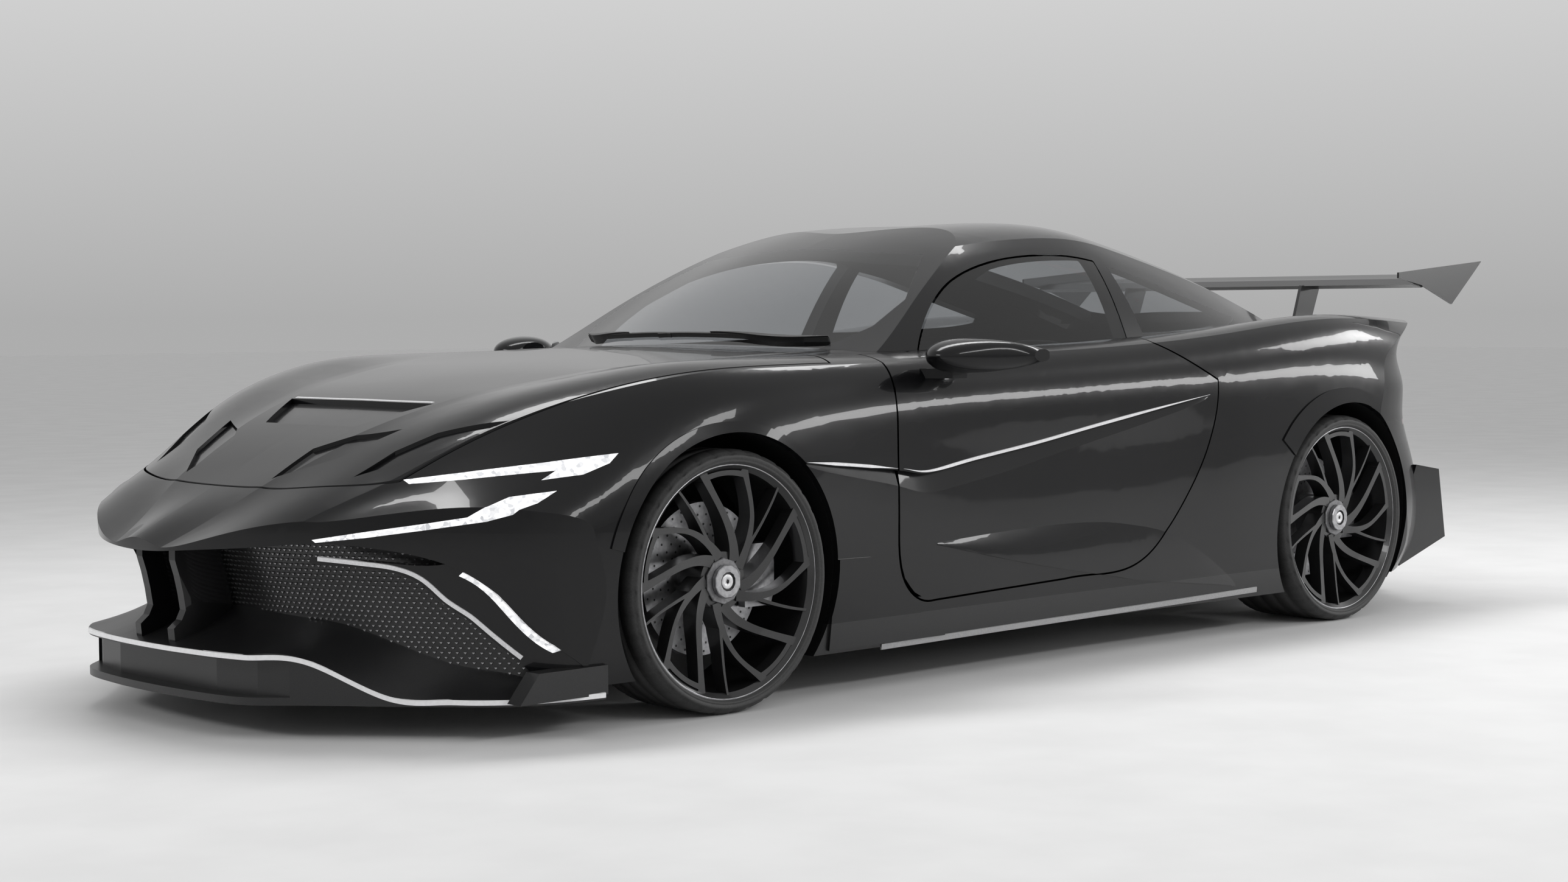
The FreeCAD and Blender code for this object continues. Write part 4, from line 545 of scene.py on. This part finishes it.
def splitter_band():
    """The bright band that wraps the front edge of the splitter."""
    samples = smooth_path(whole_edge, 220)
    high = Vector((0, 0, BAND_HALF))
    rings = []
    for index, place in enumerate(samples):
        before = samples[max(index - 1, 0)]
        after = samples[min(index + 1, len(samples) - 1)]
        along = (after - before).normalized()
        out = Vector((along.y, -along.x, 0)).normalized()
        if out.dot(Vector((place.x - 0.2, place.y, 0))) < 0:
            out = -out
        hit, _, _, _ = splitter_skin.ray_cast(place + out * 0.08, -out, 0.16)
        centre = hit if hit is not None else place
        inner = centre - out * BAND_SINK
        outer = centre + out * BAND_RISE
        rings.append([inner - high, outer - high * 0.8, outer + high * 0.8, inner + high])
    return band_piece("splitter_band", rings, WHITE_EDGE, "body")


splitter_band()
BROW = [(518, 452), (597, 442), (666, 430), (712, 404), (750, 349), (789, 308), (818, 268), (866, 202)]
bumper_skin = surface_of("front_bumper")
brow_left = [(2.35, y / 1000, z / 1000) for y, z in BROW]
strip("brow_left", bumper_skin, brow_left, (-1, 0, 0), 0.013, 0.0025, SILVER, "body", count=80)
strip("brow_right", bumper_skin, both(brow_left), (-1, 0, 0), 0.013, 0.0025, SILVER, "body", count=80)
bonnet_skin = surface_of("bonnet")
OUTLET_LINE = [(498, -330, 830), (500, -160, 830), (500, 0, 830), (500, 160, 830), (498, 330, 830)]
strip("bonnet_line", bonnet_skin, row(OUTLET_LINE), (0, 0, -1), 0.010, 0.0020, SILVER, "bonnet", count=50)

# Bright strips of the sides: blade above the channel, in wing and door parts, and the foot of the skirt
BLADE_LINE = [
    (-235, 656), (-447, 638), (-652, 618), (-664, 617), (-775, 606), (-971, 632), (-1243, 667), (-1522, 710),
    (-1811, 753), (-2070, 790),
]
SKIRT_LINE = [(-376, 118), (-1000, 124), (-1700, 131), (-2350, 142)]
FLANK = 980
skirt_skin = surface_of("side_skirts")
for side, sign in (("left", 1), ("right", -1)):
    door = f"door_{side}"
    door_skin = surface_of(door)
    wing_skin = surface_of(f"front_fender_{side}")
    inwards = (0, -sign, 0)
    line = [(x, sign * y, z) for x, y, z in row(BLADE_LINE, FLANK)]
    strip(f"blade_wing_{side}", wing_skin, line[:3], inwards, 0.010, 0.003, SILVER, "body", taper=0.3)
    strip(f"blade_{door}", door_skin, line[3:], inwards, 0.011, 0.003, SILVER, door, taper=0.25)
    foot = [(x, sign * y, z) for x, y, z in row(SKIRT_LINE, FLANK)]
    strip(f"skirt_strip_{side}", skirt_skin, foot, inwards, 0.020, 0.003, GREY_TRIM, "body", count=70)

# Woven front mesh: rows of small raised hooks on the recessed sheet
mesh_skin = surface_of("grille_mesh")
HOOK_PITCH = 0.0165
HOOK_RISE = 0.0125
HOOK_ROWS = 34
HOOKS_ASIDE = 56
HOOK_START = 0.135


def mesh_hooks():
    """Small raised hooks in rows, every other row moved by half a pitch."""
    verts = []
    faces = []
    for line in range(HOOK_ROWS):
        z = HOOK_START + line * HOOK_RISE
        for step in range(-HOOKS_ASIDE, HOOKS_ASIDE + 1):
            y = (step + 0.5 * (line % 2)) * HOOK_PITCH
            start = Vector((2.6, y, z))
            place, normal, _, _ = mesh_skin.ray_cast(start, Vector((-1, 0, 0)), 1.4)
            if place is None:
                continue
            if normal.x < 0:
                normal = -normal
            across = Vector((0, 0, 1)).cross(normal).normalized()
            up = normal.cross(across).normalized()
            base = len(verts)
            half = HOOK_PITCH * 0.36
            outline = [(-half, 0.0036), (half, 0.0036), (half * 0.25, -0.0040), (-half * 0.15, -0.0040)]
            for u, v in outline:
                verts.append(place + across * u + up * v - normal * 0.0005)
            for u, v in outline:
                verts.append(place + across * (u * 0.7) + up * (v * 0.55 + 0.001) + normal * 0.0042)
            faces.append((base + 4, base + 5, base + 6, base + 7))
            for corner in range(4):
                after = (corner + 1) % 4
                faces.append((base + corner, base + after, base + after + 4, base + corner + 4))
    return mesh_object("front_mesh_hooks", verts, faces, MESH_METAL, "body", smooth=False)


mesh_hooks()

# Tyres: grooved tread, shoulder cuts and a ribbed sidewall
TYRES = {
    "front_left": (FRONT_AXLE, 1, FRONT_TYRE), "front_right": (FRONT_AXLE, -1, FRONT_TYRE),
    "rear_left": (REAR_AXLE, 1, REAR_TYRE), "rear_right": (REAR_AXLE, -1, REAR_TYRE),
}
SIDEWALL, SHOULDER, TREAD = range(3)
TYRE_STEPS = 216
CUT_STEPS = 6
SHOULDER_CUT = 0.0035
GROOVES = 4
GROOVE_DEPTH = 0.006


def tyre_profile(half):
    """The section of a tyre as radius, width and kind of each point."""
    sidewall = [
        (RIM_EDGE - 0.008, half - 0.022), (RIM_EDGE + 0.001, half - 0.010),
        (RIM_EDGE + 0.004, half - 0.004), (RIM_EDGE + 0.008, half - 0.0015),
        (RIM_EDGE + 0.010, half - 0.0035), (RIM_EDGE + 0.012, half - 0.0010),
        (RIM_EDGE + 0.018, half), (RIM_EDGE + 0.022, half - 0.0005),
    ]
    shoulder = [
        (TYRE_TOP - 0.014, half - 0.0040), (TYRE_TOP - 0.008, half - 0.0085),
        (TYRE_TOP - 0.004, half - 0.0150), (TYRE_TOP - 0.001, half - 0.0260),
    ]
    near = [(r, y, SIDEWALL) for r, y in sidewall] + [(r, y, SHOULDER) for r, y in shoulder]
    tread = []
    inner = half - 0.036
    for groove in range(GROOVES):
        centre = inner - (groove + 0.5) * 2 * inner / GROOVES
        tread.append((TYRE_TOP, centre + 0.0060, TREAD))
        tread.append((TYRE_TOP - GROOVE_DEPTH, centre + 0.0042, TREAD))
        tread.append((TYRE_TOP - GROOVE_DEPTH, centre - 0.0042, TREAD))
        tread.append((TYRE_TOP, centre - 0.0060, TREAD))
    far = [(r, -y, kind) for r, y, kind in near]
    return near + tread + far[::-1]


def tyre_piece(name, axle, side, width):
    """A tyre that stands for the plain ring, with cuts all round its shoulders."""
    wheel_y = side * wheel_middle(width)
    profile = tyre_profile(width / 2)
    verts = []
    for turn in range(TYRE_STEPS):
        angle = tau * turn / TYRE_STEPS
        for radius, y, kind in profile:
            if kind == SHOULDER and turn % CUT_STEPS == 0:
                radius -= SHOULDER_CUT
            verts.append((
                axle + radius * math.cos(angle), wheel_y + y, AXLE_HEIGHT + radius * math.sin(angle),
            ))
    faces = tube_faces(TYRE_STEPS, len(profile), closed=True)
    piece = mesh_object(f"tread_{name}", verts, faces, RUBBER, f"wheel_{name}")
    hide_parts(f"tyre_{name}")


def ring_piece(name, axle, side, y, inner, outer, depth, material, body, sides=96, facets=0):
    """A flat ring about a wheel's axle, faceted where asked."""
    section = ((inner, 0), (inner, depth), (outer - 0.002, depth), (outer, depth - 0.002), (outer, 0))
    verts = []
    count = facets or sides
    for turn in range(count):
        angle = tau * (turn + 0.5) / count
        c = math.cos(angle)
        s = math.sin(angle)
        for radius, off in section:
            verts.append((axle + radius * c, y + side * off, AXLE_HEIGHT + radius * s))
    faces = tube_faces(count, len(section), closed=True)
    return mesh_object(name, verts, faces, material, body, smooth=not facets)


HOLES_ROUND = 36
HOLE_ROWS = (0.120, 0.146, 0.172, 0.194)
HOLE_SHIFT = 0.28
HOLE_SIDES = 8
HOLE_RADIUS = 0.0034


def disc_hole_shade_spots(name, axle, y, body):
    """Drilled rows of the brake disc, as flat dark round spots of painted shade that stand for the holes."""
    verts = []
    faces = []
    for turn in range(HOLES_ROUND):
        for line, radius in enumerate(HOLE_ROWS):
            angle = tau * (turn + HOLE_SHIFT * line) / HOLES_ROUND
            centre = Vector((axle + radius * math.cos(angle), y, AXLE_HEIGHT + radius * math.sin(angle)))
            base = len(verts)
            for corner in range(HOLE_SIDES):
                around = tau * corner / HOLE_SIDES
                x = HOLE_RADIUS * math.cos(around)
                z = HOLE_RADIUS * math.sin(around)
                verts.append(centre + Vector((x, 0, z)))
            faces.append(tuple(base + corner for corner in range(HOLE_SIDES)))
    return mesh_object(name, verts, faces, TRIM, body)


# Rings of each wheel's centre: place outwards, inner and outer radius, depth, finish and facets
LIP_INSET = 0.012
HUB_INSET = 0.030
LOCK_RINGS = [
    ("centre_lock", 0.006, 0.026, 0.045, 0.014, STEEL, 12),
    ("lock_core", 0.0143, 0.006, 0.0200, 0.004, SILVER, 0),
    ("lock_seat", -0.002, 0.030, 0.062, 0.006, CAST, 10),
]
for name, (axle, side, width) in TYRES.items():
    body = f"wheel_{name}"
    tyre_piece(name, axle, side, width)
    wheel_y = side * wheel_middle(width)
    face_y = wheel_y + side * (width / 2 - LIP_INSET)
    ring_piece(f"rim_lip_{name}", axle, side, face_y - side * 0.0005, 0.3075, 0.3115, 0.0020, STEEL, body)
    hub_y = face_y - side * HUB_INSET
    for ring, off, inner, outer, depth, material, facets in LOCK_RINGS:
        ring_piece(
            f"{ring}_{name}", axle, side, hub_y + side * off, inner, outer, depth, material, body,
            sides=24, facets=facets,
        )
    # Painted shade: flat dark spots on the disc face stand for the drilled holes
    disc_hole_shade_spots(f"disc_hole_shade_spots_{name}", axle, wheel_y + side * (DISC_PLACE + DISC_HALF), body)


# Cabin: seats as crowned cushions on hard shells
SQUARENESS = 0.42
SEAM_DEPTH = 0.006
SEAM_WIDTH = 0.035


def cushion(name, centre, half, lean, channels=0):
    """A crowned closed pad with sewn channels across its upper side."""
    verts = []
    rows_up = 28
    rows_round = 56
    turn = Matrix.Rotation(lean, 4, "Y")

    def power(value, share):
        return math.copysign(abs(value) ** share, value)

    for up in range(rows_up + 1):
        phi = -math.pi / 2 + math.pi * up / rows_up
        for around in range(rows_round):
            theta = tau * around / rows_round
            x = power(math.cos(phi), SQUARENESS) * power(math.cos(theta), SQUARENESS)
            y = power(math.cos(phi), SQUARENESS) * power(math.sin(theta), SQUARENESS)
            z = power(math.sin(phi), 0.75)
            crown = 1 - 0.25 * (x * x + y * y) / 2
            point = Vector((half[0] * x, half[1] * y, half[2] * z * crown))
            if channels and z > 0:
                for channel in range(channels):
                    place = (channel + 1) / (channels + 1) * 2 - 1
                    point.z -= SEAM_DEPTH * math.exp(-((x - place) / SEAM_WIDTH) ** 2)
            verts.append(Vector(centre) + turn @ point)
    faces = tube_faces(rows_up + 1, rows_round)
    piece = welded(mesh_object(name, verts, faces, LEATHER, "body"))
    return piece


def seat_shell(name, middle):
    """The hard back and base that carry the cushions."""
    outline = [
        (0.020, 0.150), (0.015, 0.235), (-0.400, 0.215), (-0.480, 0.290), (-0.585, 0.640), (-0.600, 0.820),
        (-0.630, 0.820), (-0.632, 0.640), (-0.530, 0.230), (-0.500, 0.150),
    ]
    verts = []
    count = len(outline)
    across = (-0.225, -0.2, 0.2, 0.225)
    for step, y in enumerate(across):
        lift = 0.0 if step in (1, 2) else -0.012
        for x, z in outline:
            verts.append((x, middle + y, z + lift if z > 0.2 else z))
    faces = tube_faces(len(across), count)
    faces.append(tuple(range(count)))
    faces.append(tuple((len(across) - 1) * count + index for index in range(count)))
    piece = mesh_object(name, verts, faces, CARBON, "body", smooth=False)
    return soften(piece, 0.008, 3)


FRONT_SEAT_Y = 0.370
REAR_SEAT_Y = 0.3225
for side, sign in (("left", 1), ("right", -1)):
    middle = FRONT_SEAT_Y * sign
    shell_piece = seat_shell(f"seat_shell_{side}", middle)
    if sign > 0:
        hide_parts("front_seats")
    cushion(f"seat_base_{side}", (-0.215, middle, 0.265), (0.235, 0.165, 0.055), 0.05, channels=4)
    cushion(f"seat_back_{side}", (-0.515, middle, 0.560), (0.250, 0.160, 0.050), -1.30, channels=5)
    cushion(f"seat_head_{side}", (-0.600, middle, 0.885), (0.078, 0.115, 0.038), -1.35)
    for edge, off in (("in", -0.198), ("out", 0.198)):
        place = middle + off * sign
        cushion(f"base_roll_{edge}_{side}", (-0.215, place, 0.285), (0.225, 0.034, 0.075), 0.05)
        cushion(f"back_roll_{edge}_{side}", (-0.492, place, 0.545), (0.240, 0.032, 0.080), -1.30)

for side, sign in (("left", 1), ("right", -1)):
    middle = REAR_SEAT_Y * sign
    base = cushion(f"rear_base_{side}", (-1.000, middle, 0.232), (0.165, 0.185, 0.072), 0.06, channels=3)
    cushion(f"rear_back_{side}", (-1.245, middle, 0.490), (0.215, 0.185, 0.060), -1.38, channels=3)
    if sign > 0:
        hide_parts("rear_seats")

# Centre pad of the steering wheel
COLUMN_TILT = math.radians(24)
STEERING_CENTRE = (0.140, 0.370, 0.770)
column_way = Vector((-math.cos(COLUMN_TILT), 0, math.sin(COLUMN_TILT)))
pad_centre = Vector(STEERING_CENTRE) + column_way * 0.012


def round_pad(name, centre, way, radius, depth, material, body, sides=48):
    """A shallow domed button about an axis."""
    across = way.cross(Vector((0, 1, 0))).normalized()
    other = way.cross(across).normalized()
    verts = []
    steps = ((1.0, 0.0), (1.0, 0.55), (0.93, 0.85), (0.6, 1.0), (0.0, 1.04))
    for share, rise in steps:
        for turn in range(sides):
            angle = tau * turn / sides
            u = radius * share * math.cos(angle)
            v = radius * share * math.sin(angle)
            verts.append(centre + across * u + other * v + way * (depth * rise))
    faces = tube_faces(len(steps), sides)
    faces.append(tuple(range(sides)))
    return welded(mesh_object(name, verts, faces, material, body))


round_pad("steering_pad", pad_centre, column_way, 0.062, 0.022, LEATHER, "steering_wheel")

# Mirror glass, set in the slanted rear face of each cap
mirror_in = (-0.950 + FRONT_AXLE, 0.930)
mirror_out = (-1.060 + FRONT_AXLE, 1.150)
MIRROR_MIDDLE = 0.42
MIRROR_HEIGHT = 0.932
GLASS_HALF_LENGTH = 0.078
GLASS_HALF_HEIGHT = 0.031
for side, sign in (("left", 1), ("right", -1)):
    middle_x = mirror_in[0] + (mirror_out[0] - mirror_in[0]) * MIRROR_MIDDLE
    middle_y = mirror_in[1] + (mirror_out[1] - mirror_in[1]) * MIRROR_MIDDLE
    along = Vector((mirror_out[0] - mirror_in[0], (mirror_out[1] - mirror_in[1]) * sign, 0)).normalized()
    normal = Vector((0, 0, 1)).cross(along).normalized()
    if normal.x > 0:
        normal = -normal
    centre = Vector((middle_x, middle_y * sign, MIRROR_HEIGHT))
    verts = []
    count = 40
    for depth, share in ((0.0, 1.0), (0.0016, 0.97)):
        for turn in range(count):
            angle = tau * turn / count
            u = GLASS_HALF_LENGTH * share * math.copysign(abs(math.cos(angle)) ** 0.7, math.cos(angle))
            v = GLASS_HALF_HEIGHT * share * math.copysign(abs(math.sin(angle)) ** 0.7, math.sin(angle))
            verts.append(centre + along * u + Vector((0, 0, v)) + normal * depth)
    faces = [tuple(range(count)), tuple(range(count, 2 * count))]
    faces += [(t, (t + 1) % count, (t + 1) % count + count, t + count) for t in range(count)]
    mesh_object(f"mirror_glass_{side}", verts, faces, MIRROR, f"door_{side}", smooth=False)

# Wipers at rest along the foot of the windscreen
DOWN = (0, 0, -1)
screen_skin = surface_of("windscreen")
WIPERS = {
    "long": [(0.560, 0.560), (0.620, 0.380), (0.655, 0.150), (0.665, -0.080)],
    "short": [(0.665, -0.020), (0.645, -0.240), (0.590, -0.460), (0.555, -0.550)],
}
for name, line in WIPERS.items():
    path = [(x, y, 1.25) for x, y in line]
    strip(f"wiper_blade_{name}", screen_skin, path, DOWN, 0.009, 0.012, RUBBER_TRIM, "body", count=40)
    arm = path[:3] if name == "long" else path[1:]
    strip(f"wiper_arm_{name}", screen_skin, arm, DOWN, 0.016, 0.017, TRIM, "body", count=24, taper=0.4)


# Tail: exhaust pipes and the light bar
def tube_piece(name, start, end, radius, wall_width, material, body, sides=48):
    """An open pipe between two points, with its wall's edges softened."""
    start = Vector(start)
    end = Vector(end)
    way = (end - start).normalized()
    across = way.cross(Vector((0, 1, 0))).normalized()
    other = way.cross(across).normalized()
    verts = []
    rings = ((start, radius), (end, radius), (end, radius - wall_width), (start, radius - wall_width))
    for centre, r in rings:
        for turn in range(sides):
            angle = tau * turn / sides
            verts.append(centre + across * (r * math.cos(angle)) + other * (r * math.sin(angle)))
    faces = tube_faces(len(rings), sides, closed=True)
    return soften(mesh_object(name, verts, faces, material, body), 0.0015, 2)


bumper_back = surface_of("rear_bumper")
PIPE_HEIGHT = 0.330
for side, sign in (("left", 1), ("right", -1)):
    for pair, y in (("in", 0.300), ("out", 0.395)):
        behind = Vector((-2.9, y * sign, PIPE_HEIGHT))
        hit, _, _, _ = bumper_back.ray_cast(behind, Vector((1, 0, 0)), 1.2)
        start = (hit.x + 0.030, y * sign, PIPE_HEIGHT)
        end = (max(hit.x - 0.014, bounds_at_start[0][0] + 0.004), y * sign, PIPE_HEIGHT)
        # Painted shade: a near-solid dark filler just inside each pipe's mouth stands for the shade of its
        # hollow bore
        bore_shade_end = (end[0] + 0.010, end[1], end[2])
        tube_piece(f"tail_pipe_{pair}_{side}", start, end, 0.042, 0.004, STEEL, "body")
        tube_piece(f"pipe_bore_shade_{pair}_{side}", start, bore_shade_end, 0.0375, 0.0365, TRIM, "body")
boot_back = surface_of("boot_lid", "rear_bumper")
LIGHT_BAR = [(-2.9, -0.55, 0.665), (-2.9, 0.0, 0.668), (-2.9, 0.55, 0.665)]
strip("rear_light_bar", boot_back, LIGHT_BAR, (1, 0, 0), 0.010, 0.003, RED_LIT, "boot_lid", count=80)


# Engine: covers, intake runners and plenum on the plain block
def box_piece(name, low, high, material, body, bevel):
    """A box between two corners, with its edges rounded."""
    x0, y0, z0 = low
    x1, y1, z1 = high
    verts = [(x, y, z) for x in (x0, x1) for y in (y0, y1) for z in (z0, z1)]
    faces = [(0, 1, 3, 2), (4, 5, 7, 6), (0, 1, 5, 4), (2, 3, 7, 6), (0, 2, 6, 4), (1, 3, 7, 5)]
    return soften(mesh_object(name, verts, faces, material, body, smooth=False), bevel, 3)


engine_low, engine_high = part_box("engine_block")
engine_top = engine_high[2]
RUNNERS = 6
for side, sign in (("left", 1), ("right", -1)):
    low = (engine_low[0] + 0.05, min(0.07 * sign, 0.24 * sign), engine_top - 0.004)
    high = (engine_high[0] - 0.05, max(0.07 * sign, 0.24 * sign), engine_top + 0.040)
    box_piece(f"cam_cover_{side}", low, high, CAST, "body", 0.012)
    for runner in range(RUNNERS):
        x = engine_low[0] + 0.10 + runner * (engine_high[0] - engine_low[0] - 0.20) / (RUNNERS - 1)
        tube_piece(
            f"intake_{runner}_{side}", (x, 0.150 * sign, engine_top + 0.030),
            (x, 0.020 * sign, engine_top + 0.050), 0.018, 0.004, STEEL, "body", sides=20,
        )
box_piece(
    "intake_plenum", (engine_low[0] + 0.06, -0.045, engine_top + 0.010),
    (engine_high[0] - 0.06, 0.045, engine_top + 0.070), CARBON, "body", 0.018,
)

# Bolts where the supports of the rear wing meet its blade
SUPPORT_FACE = 0.4072
WING_BOLTS = (("front", -2.075, 1.142), ("rear", -2.135, 1.150))
for side, sign in (("left", 1), ("right", -1)):
    outwards = Vector((0, sign, 0.0001)).normalized()
    for name, x, z in WING_BOLTS:
        place = Vector((x, SUPPORT_FACE * sign, z))
        round_pad(f"wing_bolt_{name}_{side}", place, outwards, 0.007, 0.003, STEEL, "boot_lid", sides=12)

scene.view_settings.view_transform = "Standard"
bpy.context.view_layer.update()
